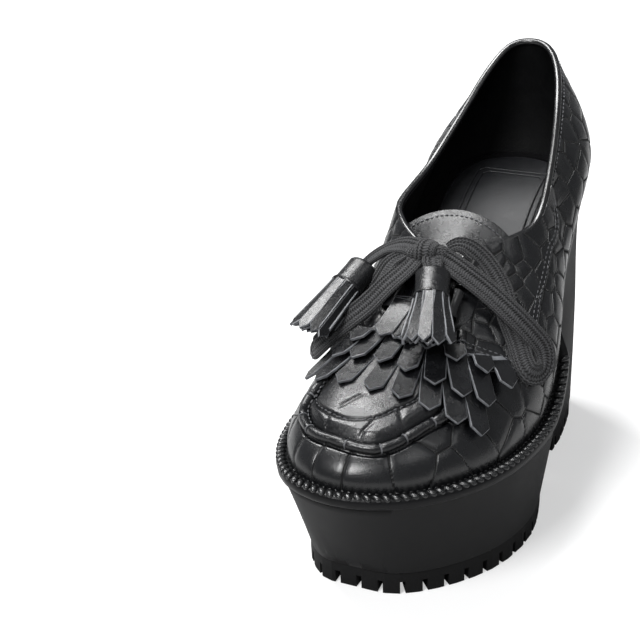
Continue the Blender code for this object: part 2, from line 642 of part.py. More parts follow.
def make_tassel(name, ends):
    """Leather band with a flat bundle of pointed strips fused below it."""
    top, tips = (world(*end) for end in ends)
    axis = (tips - top).normalized()
    length = (tips - top).length
    side = axis.cross(Vector((0, 0, 1))).normalized()
    front = side.cross(axis)
    count = 2 * TASSEL_STRIPS
    band, root = TASSEL_BAND_RADIUS, TASSEL_BAND_RADIUS - TASSEL_BAND_STEP
    levels = ((0.0, band, band, 0.0), (TASSEL_BAND_LENGTH, band, band, 0.0),
              (TASSEL_BAND_LENGTH + TASSEL_BAND_EDGE, root, root, 0.0),
              (length - TASSEL_POINT, TASSEL_FLARE, TASSEL_FLARE * TASSEL_FLATNESS, TASSEL_POINT))
    mesh = bmesh.new()
    rings = []
    for along, wide, deep, point in levels:
        ring = []
        for i in range(count):
            angle = 2 * math.pi * i / count
            place = top + axis * (along + (point if i % 2 else 0.0))
            place += side * math.cos(angle) * wide + front * math.sin(angle) * deep
            ring.append(place)
        rings.append(ring)
    grid = sheet_grid(mesh, rings, wrap=True)
    for ring, place in ((grid[0], top), (grid[-1], top + axis * (length - 2 * TASSEL_POINT))):
        middle = mesh.verts.new(place)
        for i in range(count):
            mesh.faces.new((ring[i], ring[(i + 1) % count], middle))
    finish(name, mesh, smooth_leather, 30)


def clear_scene():
    for thing in list(bpy.data.objects):
        bpy.data.objects.remove(thing, do_unlink=True)


def new_collection(name):
    collection = bpy.data.collections.new(name)
    bpy.context.scene.collection.children.link(collection)
    return collection


clear_scene()
parts = new_collection("platform_shoe")
cutters = new_collection("cutters")
leather = new_material("embossed_leather", (0.012, 0.013, 0.015), 0.34)
smooth_leather = new_material("smooth_leather", (0.014, 0.015, 0.017), 0.36)
gloss_leather = new_material("gloss_leather", (0.010, 0.011, 0.012), 0.22)
lining = new_material("lining_leather", (0.020, 0.021, 0.024), 0.42)
rubber = new_material("tread_rubber", (0.014, 0.014, 0.015), 0.62)
welt_rubber = new_material("welt_rubber", (0.013, 0.013, 0.014), 0.45)
platform_matte = new_material("platform_matte", (0.013, 0.013, 0.014), 0.58)
heel_matte = new_material("heel_matte", (0.016, 0.016, 0.017), 0.60)
woven_cotton = new_material("woven_cotton", (0.016, 0.016, 0.017), 0.85)

upper_surface = make_upper()
platform_bottom = make_platform()
make_outsole(platform_bottom)
make_heel()
make_welt()
make_insole()
make_tongue()
make_fringe(upper_surface)
make_loops(upper_surface)
make_lace_crossing()
make_knot()
make_lace("lace_bow_outer", BOW_OUTER)
make_lace("lace_bow_inner", BOW_INNER)
make_lace("lace_end_inner", LACE_END_INNER)
make_lace("lace_end_front", LACE_END_FRONT)
make_tassel("tassel_inner", TASSEL_INNER)
make_tassel("tassel_front", TASSEL_FRONT)
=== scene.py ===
import math
import random

import bmesh
import bpy
import numpy as np
from mathutils import Matrix, Vector
from mathutils.bvhtree import BVHTree
from mathutils.kdtree import KDTree


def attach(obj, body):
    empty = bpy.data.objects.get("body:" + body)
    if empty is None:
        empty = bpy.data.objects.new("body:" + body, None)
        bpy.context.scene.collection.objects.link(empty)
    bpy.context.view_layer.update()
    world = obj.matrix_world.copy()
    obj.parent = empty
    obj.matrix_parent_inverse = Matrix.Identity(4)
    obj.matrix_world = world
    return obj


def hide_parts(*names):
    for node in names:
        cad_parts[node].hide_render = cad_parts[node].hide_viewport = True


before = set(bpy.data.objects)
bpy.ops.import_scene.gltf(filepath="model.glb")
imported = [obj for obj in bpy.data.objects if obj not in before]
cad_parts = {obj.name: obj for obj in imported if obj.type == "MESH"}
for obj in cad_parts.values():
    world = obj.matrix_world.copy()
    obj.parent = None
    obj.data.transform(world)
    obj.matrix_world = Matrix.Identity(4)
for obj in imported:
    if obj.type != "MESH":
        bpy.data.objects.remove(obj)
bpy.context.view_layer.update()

# The shoe's own coordinates are across (+ to the outer side), along from the toe tip, and height.
shoe = {
    "toeToOrigin": 0.070,     # toe tip to the frame's origin
    "ringColumns": 60,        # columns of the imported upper's wall
    "wallRows": 10,           # rows between its lower edge and its top line
    "sharpAngle": 50,         # degrees, where the upper's outer face ends
}


def place(across, along, height):
    return Vector((across, along - shoe["toeToOrigin"], height))


def placeAll(points):
    return np.array([tuple(place(*p)) for p in points], float)


def smoothStep(low, high, values):
    t = np.clip((np.asarray(values, float) - low) / (high - low), 0, 1)
    return t * t * (3 - 2 * t)


def unit(vectors):
    return vectors / np.maximum(np.linalg.norm(vectors, axis=-1, keepdims=True), 1e-12)


def curveThrough(points, count, closed=False):
    # even steps on a smooth curve through the points
    points = np.asarray(points, float)
    size = len(points)
    spans = size if closed else size - 1
    fine = []
    for i in range(spans):
        a, b, c, d = (points[(i + k) % size if closed else min(max(i + k, 0), size - 1)]
                      for k in (-1, 0, 1, 2))
        for t in np.linspace(0, 1, 24, endpoint=False):
            fine.append(0.5 * (2 * b + (c - a) * t + (2 * a - 5 * b + 4 * c - d) * t * t
                               + (3 * b - 3 * c + d - a) * t ** 3))
    fine.append(points[0] if closed else points[-1])
    fine = np.array(fine)
    lengths = stepsAlong(fine)
    return atStep(fine, lengths, np.linspace(0, lengths[-1], count, endpoint=not closed))


def stepsAlong(points):
    return np.concatenate([[0], np.cumsum(np.linalg.norm(np.diff(points, axis=0), axis=1))])


def pathLength(points):
    return stepsAlong(points)[-1]


def atStep(values, steps, wanted):
    # the values of a path's points, read at the wanted lengths along it
    return np.stack([np.interp(wanted, steps, values[:, k]) for k in range(values.shape[1])], axis=-1)


def distanceTo(points, path):
    distance = np.full(len(points), 1.0)
    for a, b in zip(path[:-1], path[1:]):
        run = b - a
        t = np.clip(((points - a) @ run) / max(run @ run, 1e-14), 0, 1)
        distance = np.minimum(distance, np.linalg.norm(points - (a + t[:, None] * run), axis=1))
    return distance


def insideLoop(across, along, loop):
    inside = np.zeros(len(across), bool)
    for (ax, ay), (bx, by) in zip(loop, np.roll(loop, -1, axis=0)):
        if by != ay:
            crosses = (ay > along) != (by > along)
            inside ^= crosses & (across < (bx - ax) * (along - ay) / (by - ay) + ax)
    return inside


def alongOf(points):
    return points[:, 1] + shoe["toeToOrigin"]


def softened(values):
    # evened out round a closed row
    return (np.roll(values, 1, axis=0) + 2 * values + np.roll(values, -1, axis=0)) / 4


def openEdges(bm):
    return [e for e in bm.edges if e.is_boundary]


def newVerts(made):
    return [g for g in made["geom"] if isinstance(g, bmesh.types.BMVert)]


def facesOut(bm):
    bmesh.ops.recalc_face_normals(bm, faces=bm.faces)


def foldAt(edge, alone=999):
    # the angle in degrees between an edge's two faces
    faces = edge.link_faces
    return math.degrees(faces[0].normal.angle(faces[1].normal)) if len(faces) == 2 else alone


def mergedCopy(nodeName, joined=True):
    bm = bmesh.new()
    bm.from_mesh(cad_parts[nodeName].data)
    bmesh.ops.remove_doubles(bm, verts=bm.verts, dist=1e-6)
    if joined:
        # diagonals of the walls' quads, then the flat ends
        longest = {f: max(f.edges, key=lambda e: e.calc_length()) for f in bm.faces}
        diagonals = [e for e in bm.edges if foldAt(e) < 30 and all(longest[f] is e for f in e.link_faces)]
        bmesh.ops.dissolve_edges(bm, edges=diagonals, use_verts=False)
        flat = [e for e in bm.edges if foldAt(e) < 0.1 and all(abs(f.normal.z) > 0.9 for f in e.link_faces)]
        bmesh.ops.dissolve_edges(bm, edges=flat, use_verts=False)
    return bm


def ringOrder(ring, first, second):
    order = [first, second]
    while len(order) < len(ring):
        order.append([e.other_vert(order[-1]) for e in order[-1].link_edges
                      if e.other_vert(order[-1]) in ring and e.other_vert(order[-1]) is not order[-2]][0])
    return order


def reachedFrom(seed, beside):
    found, waiting = {seed}, [seed]
    while waiting:
        fresh = set(beside(waiting.pop())) - found
        found |= fresh
        waiting += fresh
    return found


# The upper's outer face as a smooth surface: u runs round the shoe from the toe tip to the
# outer side, v goes up from the welt to the top line.
def readUpper():
    bm = mergedCopy("upper", joined=False)
    seed = min(bm.faces, key=lambda f: f.calc_center_median().y)
    limit = math.radians(shoe["sharpAngle"])
    outer = reachedFrom(seed, lambda face: [other for edge in face.edges for other in edge.link_faces
                                            if face.normal.angle(other.normal) < limit])
    bmesh.ops.delete(bm, geom=[f for f in bm.faces if f not in outer], context="FACES")
    tip = min((v for v in bm.verts if v.is_boundary), key=lambda v: (round(v.co.y, 4), v.co.z))
    ring = reachedFrom(tip, lambda vert: [other for edge in vert.link_edges if edge.is_boundary
                                          for other in edge.verts])
    start = min((v for v in ring if v.co.y < 0), key=lambda v: abs(v.co.x - tip.co.x))
    beside = [e.other_vert(start) for e in start.link_edges if e.is_boundary]
    order = ringOrder(ring, start, max(beside, key=lambda v: v.co.x))
    rings, seen = [order], set(ring)
    while following := {e.other_vert(v) for v in rings[-1] for e in v.link_edges} - seen:
        seen |= following
        linked = {v: {e.other_vert(v) for e in v.link_edges} for v in rings[-1]}
        best = None
        for first in linked[rings[-1][0]] & following:
            for second in {e.other_vert(first) for e in first.link_edges} & following:
                order = ringOrder(following, first, second)
                if all(b in linked[a] for a, b in zip(rings[-1], order)):
                    total = sum((a.co - b.co).length for a, b in zip(rings[-1], order))
                    if best is None or total < best[0]:
                        best = (total, order)
        rings.append(best[1])
    grid = np.array([[tuple(v.co) for v in ring] for ring in rings])
    bm.free()
    return grid.transpose(1, 0, 2)


wallGrid = readUpper()
print("upper's wall read:", wallGrid.shape)
beyondLow = 2 * wallGrid[:, :1] - wallGrid[:, 1:2]
beyondHigh = 2 * wallGrid[:, -1:] - wallGrid[:, -2:-1]
paddedGrid = np.concatenate([2 * beyondLow - wallGrid[:, :1], beyondLow, wallGrid, beyondHigh,
                             2 * beyondHigh - wallGrid[:, -1:]], axis=1)


def skinWeights(t):
    return np.stack([0.5 * (-t + 2 * t ** 2 - t ** 3), 0.5 * (2 - 5 * t ** 2 + 3 * t ** 3),
                     0.5 * (t + 4 * t ** 2 - 3 * t ** 3), 0.5 * (t ** 3 - t ** 2)])


def skin(u, v):
    u, v = np.asarray(u, float), np.clip(np.asarray(v, float), -0.99, shoe["wallRows"] + 0.99)
    iu, iv = np.floor(u).astype(int), np.floor(v).astype(int)
    across, up = skinWeights(u - iu), skinWeights(v - iv)
    total = 0
    for i in range(4):
        for j in range(4):
            column = (iu + i - 1) % shoe["ringColumns"]
            row = np.clip(iv + j + 1, 0, paddedGrid.shape[1] - 1)
            total = total + (across[i] * up[j])[..., None] * paddedGrid[column, row]
    return total


def skinWays(u, v, step=0.02):
    return skin(u + step, v) - skin(u - step, v), skin(u, v + step) - skin(u, v - step)


def skinNormal(u, v):
    return unit(np.cross(*skinWays(u, v))) * outwardSign


outwardSign = 1.0
if skinNormal(np.array([15.0]), np.array([2.0]))[0][0] < 0:
    outwardSign = -1.0
sampleU, sampleV = np.meshgrid(np.arange(0, 60, 0.2), np.arange(0, 10.01, 0.2), indexing="ij")
sampleU, sampleV = sampleU.ravel(), sampleV.ravel()


def treeOf(points):
    tree = KDTree(len(points))
    for index, point in enumerate(points):
        tree.insert(point, index)
    tree.balance()
    return tree


sampleTree = treeOf(skin(sampleU, sampleV))


def onSkin(points):
    # the u and v of the places on the skin that are nearest to the points
    points = np.asarray(points, float)
    nearest = [sampleTree.find(p)[1] for p in points]
    u, v = sampleU[nearest].copy(), sampleV[nearest].copy()
    for _ in range(4):
        du, dv = (way / 0.04 for way in skinWays(u, v))
        gap = points - skin(u, v)
        aa, ab, bb = (du * du).sum(-1), (du * dv).sum(-1), (dv * dv).sum(-1)
        ga, gb = (gap * du).sum(-1), (gap * dv).sum(-1)
        det = np.maximum(aa * bb - ab * ab, 1e-16)
        u = u + np.clip((ga * bb - gb * ab) / det, -0.5, 0.5)
        v = np.clip(v + np.clip((gb * aa - ga * ab) / det, -0.5, 0.5), 0, shoe["wallRows"])
    return u, v


def skinPath(points, count):
    # a curve through shoe coordinates, laid onto the skin
    curve = curveThrough(placeAll(points), count)
    u, v = onSkin(curve)
    return skin(u, v), skinNormal(u, v)


# Materials
def newGroup(name, inputs, outputs):
    group = bpy.data.node_groups.new(name, "ShaderNodeTree")
    for label, kind, value in inputs:
        socket = group.interface.new_socket(name=label, in_out="INPUT", socket_type=kind)
        if value is not None:
            socket.default_value = value
    for label, kind in outputs:
        group.interface.new_socket(name=label, in_out="OUTPUT", socket_type=kind)
    return group, group.nodes.new("NodeGroupInput"), group.nodes.new("NodeGroupOutput")


def setInputs(tree, made, values):
    # a socket is linked, anything else is set
    for key, value in values.items():
        if isinstance(value, bpy.types.NodeSocket):
            tree.links.new(value, made.inputs[key])
        elif value is not None:
            made.inputs[key].default_value = value


def addNode(tree, kind, settings=None, **sockets):
    made = tree.nodes.new(kind)
    for key, value in (settings or {}).items():
        setattr(made, key, value)
    setInputs(tree, made, sockets)
    return made


def mapRange(tree, source, low, high, toLow, toHigh, smooth=True):
    made = addNode(tree, "ShaderNodeMapRange", {"interpolation_type": "SMOOTHSTEP" if smooth else "LINEAR"})
    setInputs(tree, made, dict(enumerate((source, low, high, toLow, toHigh))))
    return made.outputs[0]


def mathNode(tree, operation, *values):
    made = addNode(tree, "ShaderNodeMath", {"operation": operation})
    setInputs(tree, made, dict(enumerate(values)))
    return made.outputs[0]


def leatherGrainGroup():
    group, entry, leave = newGroup(
        "leatherGrain", [("Vector", "NodeSocketVector", None), ("Scale", "NodeSocketFloat", 900.0),
                         ("Creasing", "NodeSocketFloat", 0.4)],
        [("Height", "NodeSocketFloat"), ("Variation", "NodeSocketFloat")])
    where, scale = entry.outputs["Vector"], entry.outputs["Scale"]
    pores = addNode(group, "ShaderNodeTexVoronoi", {"feature": "DISTANCE_TO_EDGE"}, Vector=where,
                    Scale=scale)
    broad = addNode(group, "ShaderNodeTexNoise", Vector=where, Detail=6.0, Roughness=0.62,
                    Scale=mathNode(group, "MULTIPLY", scale, 0.09))
    crease = addNode(group, "ShaderNodeTexNoise", Vector=where, Detail=3.0, Roughness=0.5, Distortion=1.2,
                     Scale=mathNode(group, "MULTIPLY", scale, 0.16))
    pore = mapRange(group, pores.outputs["Distance"], 0.0, 0.16, 0.0, 1.0)
    away = mathNode(group, "ABSOLUTE", mathNode(group, "SUBTRACT", crease.outputs["Fac"], 0.5))
    fold = mapRange(group, away, 0.0, 0.05, 0.0, 1.0)
    fold = mathNode(group, "MULTIPLY", fold, entry.outputs["Creasing"])
    height = mathNode(group, "ADD", mathNode(group, "MULTIPLY", pore, 0.5), fold)
    setInputs(group, leave, {"Height": height, "Variation": broad.outputs["Fac"]})
    return group


def mattSurfaceGroup():
    group, entry, leave = newGroup(
        "mattSurface", [("Vector", "NodeSocketVector", None), ("Scale", "NodeSocketFloat", 1500.0)],
        [("Height", "NodeSocketFloat"), ("Variation", "NodeSocketFloat"), ("Dust", "NodeSocketFloat")])
    where = entry.outputs["Vector"]
    fine = addNode(group, "ShaderNodeTexNoise", Vector=where, Scale=entry.outputs["Scale"], Detail=4.0,
                   Roughness=0.7)
    cloud = addNode(group, "ShaderNodeTexNoise", Vector=where, Scale=38.0, Detail=5.0, Roughness=0.6)
    specks = addNode(group, "ShaderNodeTexVoronoi", Vector=where, Scale=260.0)
    dust = mapRange(group, specks.outputs["Distance"], 0.04, 0.10, 1.0, 0.0)
    cover = mapRange(group, cloud.outputs["Fac"], 0.55, 0.75, 0.0, 1.0)
    setInputs(group, leave, {"Height": fine.outputs["Fac"], "Variation": cloud.outputs["Fac"],
                             "Dust": mathNode(group, "MULTIPLY", dust, cover)})
    return group


groups = {"leather": leatherGrainGroup(), "matt": mattSurfaceGroup()}


def startMaterial(name):
    material = bpy.data.materials.new(name)
    material.use_nodes = True
    tree = material.node_tree
    shader = tree.nodes["Principled BSDF"]
    coordinates = tree.nodes.new("ShaderNodeTexCoord")
    return material, tree, shader, coordinates.outputs["Object"]


def mixColour(tree, factor, first, second):
    made = addNode(tree, "ShaderNodeMix", {"data_type": "RGBA"}, Factor=factor)
    colours = [s for s in made.inputs if s.type == "RGBA"]
    for socket, value in zip(colours, (first, second)):
        if isinstance(value, tuple):
            socket.default_value = (*value, 1)
        else:
            tree.links.new(value, socket)
    return [s for s in made.outputs if s.type == "RGBA"][0]


def addBump(tree, shader, height, distance):
    bump = addNode(tree, "ShaderNodeBump", Distance=distance, Height=height)
    tree.links.new(bump.outputs["Normal"], shader.inputs["Normal"])


def surfaceMaterial(name, look):
    # look: grain in 1/m, bump in m, widths in mm; embossed scales read the attributes
    # crease, the distance in mm to the nearest groove, and tone; the grooves are painted darker as painted
    # shade
    material, tree, shader, where = startMaterial(name)
    matt = "dust" in look
    surface = addNode(tree, "ShaderNodeGroup", {"node_tree": groups["matt" if matt else "leather"]},
                      Vector=where, Scale=look["grain"])
    if not matt:
        surface.inputs["Creasing"].default_value = look["creasing"]
    variation, height = surface.outputs["Variation"], surface.outputs["Height"]
    spread = look.get("roughSpread", 0.05)
    rough = mapRange(tree, variation, 0.3, 0.7, look["rough"] - spread, look["rough"] + spread, False)
    if "grooveShade" in look:
        crease, tone = (addNode(tree, "ShaderNodeAttribute", {"attribute_name": label}).outputs["Fac"]
                        for label in ("crease", "tone"))
        # the mask is 0 in the grooves: it picks their darker colour, which is painted shade, and also
        # roughens and sinks them
        grooveShade = mapRange(tree, crease, 0.05, look["grooveWidth"], 0.0, 1.0)
        crown = mapRange(tree, crease, 0.3, look["crownWidth"], 0.0, 1.0)
        plain = mixColour(tree, tone, look["dark"], look["colour"])
        colour = mixColour(tree, grooveShade, look["grooveShade"], plain)
        rough = mathNode(tree, "ADD", rough, mapRange(tree, grooveShade, 0.0, 1.0, look["grooveRough"], 0.0))
        raised = mathNode(tree, "ADD", grooveShade, mathNode(tree, "MULTIPLY", crown, 0.25))
        height = mathNode(tree, "ADD", raised, mathNode(tree, "MULTIPLY", height, look["grainShare"]))
    else:
        shade = mapRange(tree, variation, 0.3 if matt else 0.35, 0.7, 0.0, 1.0)
        colour = mixColour(tree, shade, look["dark"], look["colour"])
    if matt:
        dust = mathNode(tree, "MULTIPLY", surface.outputs["Dust"], look["dust"])
        colour = mixColour(tree, dust, colour, (0.09, 0.09, 0.092))
    addBump(tree, shader, height, look["bump"])
    setInputs(tree, shader, {
        "Base Color": colour, "Roughness": rough, "Coat Weight": look.get("coat", 0.0),
        "Specular IOR Level": look.get("specular", 0.15 if matt else 0.4),
        "Coat Roughness": look.get("coatRough", 0.22)})
    return material


def wovenMaterial(name, look):
    # the piece's own UV map: U goes round the braid, V along it, both in millimetres
    material, tree, shader, _ = startMaterial(name)
    uv = addNode(tree, "ShaderNodeUVMap", {"uv_map": "surface"}).outputs["UV"]
    split = addNode(tree, "ShaderNodeSeparateXYZ", Vector=uv)
    rib = mathNode(tree, "MULTIPLY", split.outputs["X"], 2 * math.pi / look["rib"])
    pick = mathNode(tree, "MULTIPLY", split.outputs["Y"], 2 * math.pi / look["pick"])
    shift = mathNode(tree, "MULTIPLY", mathNode(tree, "SINE", rib), 1.4)
    ribs = mathNode(tree, "MULTIPLY_ADD", mathNode(tree, "COSINE", rib), 0.5, 0.5)
    picks = mathNode(tree, "SINE", mathNode(tree, "ADD", pick, shift))
    picks = mathNode(tree, "MULTIPLY_ADD", picks, 0.5, 0.5)
    fuzz = addNode(tree, "ShaderNodeTexNoise", Vector=uv, Scale=1.7, Detail=4.0, Roughness=0.65)
    height = mathNode(tree, "ADD", mathNode(tree, "MULTIPLY", ribs, 0.5),
                      mathNode(tree, "MULTIPLY", picks, 0.5))
    height = mathNode(tree, "ADD", height, mathNode(tree, "MULTIPLY", fuzz.outputs["Fac"], 0.9))
    # colour follows the weave's height: painted highlight on the raised ribs, painted shade in the hollows
    colour = mixColour(tree, mapRange(tree, height, 0.45, 1.35, 0.0, 1.0), look["dark"], look["colour"])
    addBump(tree, shader, height, look["bump"])
    setInputs(tree, shader, {"Base Color": colour, "Roughness": look["rough"], "Specular IOR Level": 0.3,
                             "Sheen Weight": 0.08, "Sheen Roughness": 0.4})
    return material


looks = {
    "croc": {"colour": (0.0055, 0.0058, 0.0066), "dark": (0.0038, 0.0040, 0.0046),
             # the groove colour below is painted shade in the embossed grooves
             "grooveShade": (0.0010, 0.0010, 0.0011), "rough": 0.27, "roughSpread": 0.06, "grain": 1300.0,
             "creasing": 0.25, "grainShare": 0.06, "bump": 0.00045, "grooveWidth": 0.50,
             "crownWidth": 2.2, "coat": 0.08, "coatRough": 0.25, "specular": 0.45,
             "grooveRough": 0.5},
    "smooth": {"colour": (0.0055, 0.0058, 0.0067), "dark": (0.0036, 0.0038, 0.0044), "rough": 0.25,
               "roughSpread": 0.08, "grain": 1500.0, "creasing": 0.5, "bump": 0.00005, "coat": 0.12},
    "gloss": {"colour": (0.0045, 0.0047, 0.0052), "dark": (0.003, 0.003, 0.0034), "rough": 0.18,
              "grain": 1500.0, "creasing": 0.4, "bump": 0.00003, "coat": 0.4},
    # the cut edges' pale colour is partly their raw tone and partly painted highlight
    "cutEdgeHighlight": {"colour": (0.150, 0.155, 0.165), "dark": (0.080, 0.083, 0.090), "rough": 0.42,
                "roughSpread": 0.06, "grain": 2600.0, "creasing": 0.2, "bump": 0.00003, "coat": 0.1},
    "sock": {"colour": (0.0125, 0.0131, 0.0147), "dark": (0.0085, 0.0090, 0.0102), "rough": 0.46,
             "grain": 1900.0, "creasing": 0.3, "bump": 0.00005},
    "lining": {"colour": (0.0022, 0.0023, 0.0026), "dark": (0.0014, 0.0015, 0.0017), "rough": 0.58,
               "grain": 1900.0, "creasing": 0.3, "bump": 0.00005, "specular": 0.12},
    "thread": {"colour": (0.110, 0.112, 0.120), "dark": (0.055, 0.056, 0.060), "rough": 0.42,
               "grain": 4200.0, "creasing": 0.2, "bump": 0.00005, "coat": 0.1},
    "platform": {"colour": (0.0130, 0.0130, 0.0134), "dark": (0.0106, 0.0106, 0.0110), "rough": 0.60,
                 "grain": 2400.0, "bump": 0.00004, "dust": 0.5},
    "heel": {"colour": (0.0100, 0.0100, 0.0104), "dark": (0.0078, 0.0078, 0.0082), "rough": 0.62,
             "grain": 2400.0, "bump": 0.00004, "dust": 0.4},
    "tread": {"colour": (0.0070, 0.0070, 0.0073), "dark": (0.0050, 0.0050, 0.0052), "rough": 0.66,
              "grain": 1700.0, "bump": 0.00006, "dust": 0.6},
    "welt": {"colour": (0.0060, 0.0060, 0.0066), "dark": (0.004, 0.004, 0.0043), "rough": 0.34,
             "grain": 1600.0, "bump": 0.00004, "dust": 0.3},
    "bead": {"colour": (0.0075, 0.0078, 0.0085), "dark": (0.004, 0.0042, 0.0046), "rough": 0.27,
             "grain": 1800.0, "creasing": 0.3, "bump": 0.00004, "coat": 0.3},
    # the woven colours are painted highlight on the braid's ribs and painted shade in its hollows
    "woven": {"colour": (0.0540, 0.0545, 0.0570), "dark": (0.0010, 0.0010, 0.0011), "rough": 0.85,
              "rib": 1.45, "pick": 1.05, "bump": 0.00042},
}
finishes = {name: surfaceMaterial(name + "Finish", look) for name, look in looks.items() if name != "woven"}
crocLeather, smoothLeather, glossLeather = (finishes[name] for name in ("croc", "smooth", "gloss"))
cutEdgeHighlight, liningLeather, sockLeather = (finishes[name] for name in ("cutEdgeHighlight", "lining", "sock"))
threadFinish, weltFinish, beadFinish = (finishes[name] for name in ("thread", "welt", "bead"))
platformFinish, heelFinish, treadFinish = (finishes[name] for name in ("platform", "heel", "tread"))
wovenFinish = wovenMaterial("wovenBraid", looks["woven"])
print("materials ready")


# Making meshes
def makePiece(name, bm, materials, angle=40, replaces=()):
    mesh = bpy.data.meshes.new(name)
    bm.to_mesh(mesh)
    bm.free()
    for material in materials:
        mesh.materials.append(material)
    mesh.shade_smooth()
    mesh.set_sharp_from_angle(angle=math.radians(angle))
    piece = bpy.data.objects.new(name, mesh)
    bpy.context.scene.collection.objects.link(piece)
    if replaces:
        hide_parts(*replaces)
    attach(piece, "root")
    return piece


def addBevel(piece, width, angle):
    bevel = piece.modifiers.new("edge", "BEVEL")
    bevel.width = width
    bevel.segments = 2
    bevel.limit_method = "ANGLE"
    bevel.angle_limit = math.radians(angle)


def gridMesh(columns, rows):
    # a flat grid, with each vertex's share across and up it
    bm = bmesh.new()
    bm.loops.layers.uv.new("surface")
    bmesh.ops.create_grid(bm, x_segments=columns, y_segments=rows, size=0.5, calc_uvs=True)
    bm.verts.ensure_lookup_table()
    shares = np.array([(v.co.x + 0.5, v.co.y + 0.5) for v in bm.verts])
    return bm, shares[:, 0], shares[:, 1]


def putVerts(bm, points):
    for vert, point in zip(bm.verts, points):
        vert.co = point


def scaleUv(bm, across, along):
    layer = bm.loops.layers.uv["surface"]
    for face in bm.faces:
        for loop in face.loops:
            uv = loop[layer].uv
            uv.x *= across
            uv.y *= along


def sweep(path, side, up, profile, ring, closed=False, caps=True, uvSize=None):
    # profile(round share, along share) gives the way to the side and up, in metres
    count = len(path)
    bm, around, along = gridMesh(ring, count if closed else count - 1)
    index = np.round(along * (count if closed else count - 1)).astype(int) % count
    wide, high = profile(around, along)
    points = path[index] + side[index] * wide[:, None] + up[index] * high[:, None]
    putVerts(bm, points)
    if uvSize:
        scaleUv(bm, *uvSize)
    bmesh.ops.remove_doubles(bm, verts=bm.verts, dist=2e-6)
    if caps and not closed:
        bmesh.ops.holes_fill(bm, edges=openEdges(bm), sides=0)
    facesOut(bm)
    return bm


def joinInto(target, source, slot=None):
    mesh = bpy.data.meshes.new("joining")
    if slot is not None:
        for face in source.faces:
            face.material_index = slot
    source.to_mesh(mesh)
    target.from_mesh(mesh)
    bpy.data.meshes.remove(mesh)
    source.free()


def sidesOf(path, normals, closed=False):
    if closed:
        tangent = np.roll(path, -1, axis=0) - np.roll(path, 1, axis=0)
    else:
        tangent = np.gradient(path, axis=0)
    tangent = unit(tangent)
    side = unit(np.cross(tangent, normals))
    return side, unit(np.cross(side, tangent))


def rope(path, normals, width, height, closed=False, ring=10):
    def profile(around, along):
        angle = 2 * np.pi * around
        return 0.5 * width * np.cos(angle), 0.5 * height * np.sin(angle)
    side, up = sidesOf(path, normals, closed)
    return sweep(path, side, up, profile, ring, closed)


def addBall(bm, counts, spot, axes, size, boxy=1.0):
    # an ellipsoid with its own axes; boxy below 1 gives it a crisp ridge
    made = bmesh.ops.create_uvsphere(bm, u_segments=counts[0], v_segments=counts[1], radius=0.5)["verts"]
    for vert in made:
        vert.co.x = math.copysign(abs(vert.co.x * 2) ** boxy / 2, vert.co.x)
    turn = Matrix([tuple(axis) for axis in axes]).transposed().to_4x4()
    matrix = Matrix.Translation(spot) @ turn @ Matrix.Diagonal((*size, 1))
    bmesh.ops.transform(bm, matrix=matrix, verts=made)


def stitchMesh(bm, path, normals, look, slope=0.0):
    # a row of short thread stitches; look: pitch, length, thick
    steps = stepsAlong(path)
    total = steps[-1]
    count = max(2, int(total / look["pitch"]))
    for i in range(count):
        middle = (i + 0.5) * total / count
        spot, ahead = atStep(path, steps, middle), atStep(path, steps, middle + 0.0004)
        normal = unit(atStep(normals, steps, middle))
        run = unit(ahead - spot)
        side = unit(np.cross(run, normal))
        run = unit(run * math.cos(slope) + side * math.sin(slope))
        side = unit(np.cross(run, normal))
        addBall(bm, (6, 4), spot, (side, normal, run), (look["thick"], look["thick"], look["length"]))


def stitchPiece(name, rows, finish, slope=0.0):
    # rows: path, normals and the stitches' look
    threads = bmesh.new()
    for path, normals, look in rows:
        stitchMesh(threads, path, normals, look, slope)
    makePiece(name, threads, [finish], 60)


# The camera stands where the photograph was taken from.
camera = {
    "elevation": math.radians(24.7), "azimuth": math.radians(25.81), "roll": math.radians(-1.89),
    "position": (0.1972, -0.4819, 0.3349), "focalPixels": 1500.0, "middle": (328.3, 315.9),
    "frame": 640.0, "sensor": 36.0,
}


def makeCamera(look):
    e, a, r = look["elevation"], look["azimuth"], look["roll"]
    forward = Vector((-math.sin(a) * math.cos(e), math.cos(a) * math.cos(e), -math.sin(e)))
    right = Vector((math.cos(a), math.sin(a), 0))
    above = right.cross(forward)
    turnedRight = right * math.cos(r) + above * math.sin(r)
    turnedUp = above * math.cos(r) - right * math.sin(r)
    data = bpy.data.cameras.new("viewpoint")
    data.sensor_width = look["sensor"]
    data.lens = look["focalPixels"] / look["frame"] * look["sensor"]
    data.shift_x = (look["frame"] / 2 - look["middle"][0]) / look["frame"]
    data.shift_y = (look["middle"][1] - look["frame"] / 2) / look["frame"]
    data.clip_start = 0.01
    made = bpy.data.objects.new("viewpoint", data)
    bpy.context.scene.collection.objects.link(made)
    rotation = Matrix((turnedRight, turnedUp, -forward)).transposed().to_4x4()
    made.matrix_world = Matrix.Translation(look["position"]) @ rotation
    bpy.context.scene.camera = made


makeCamera(camera)

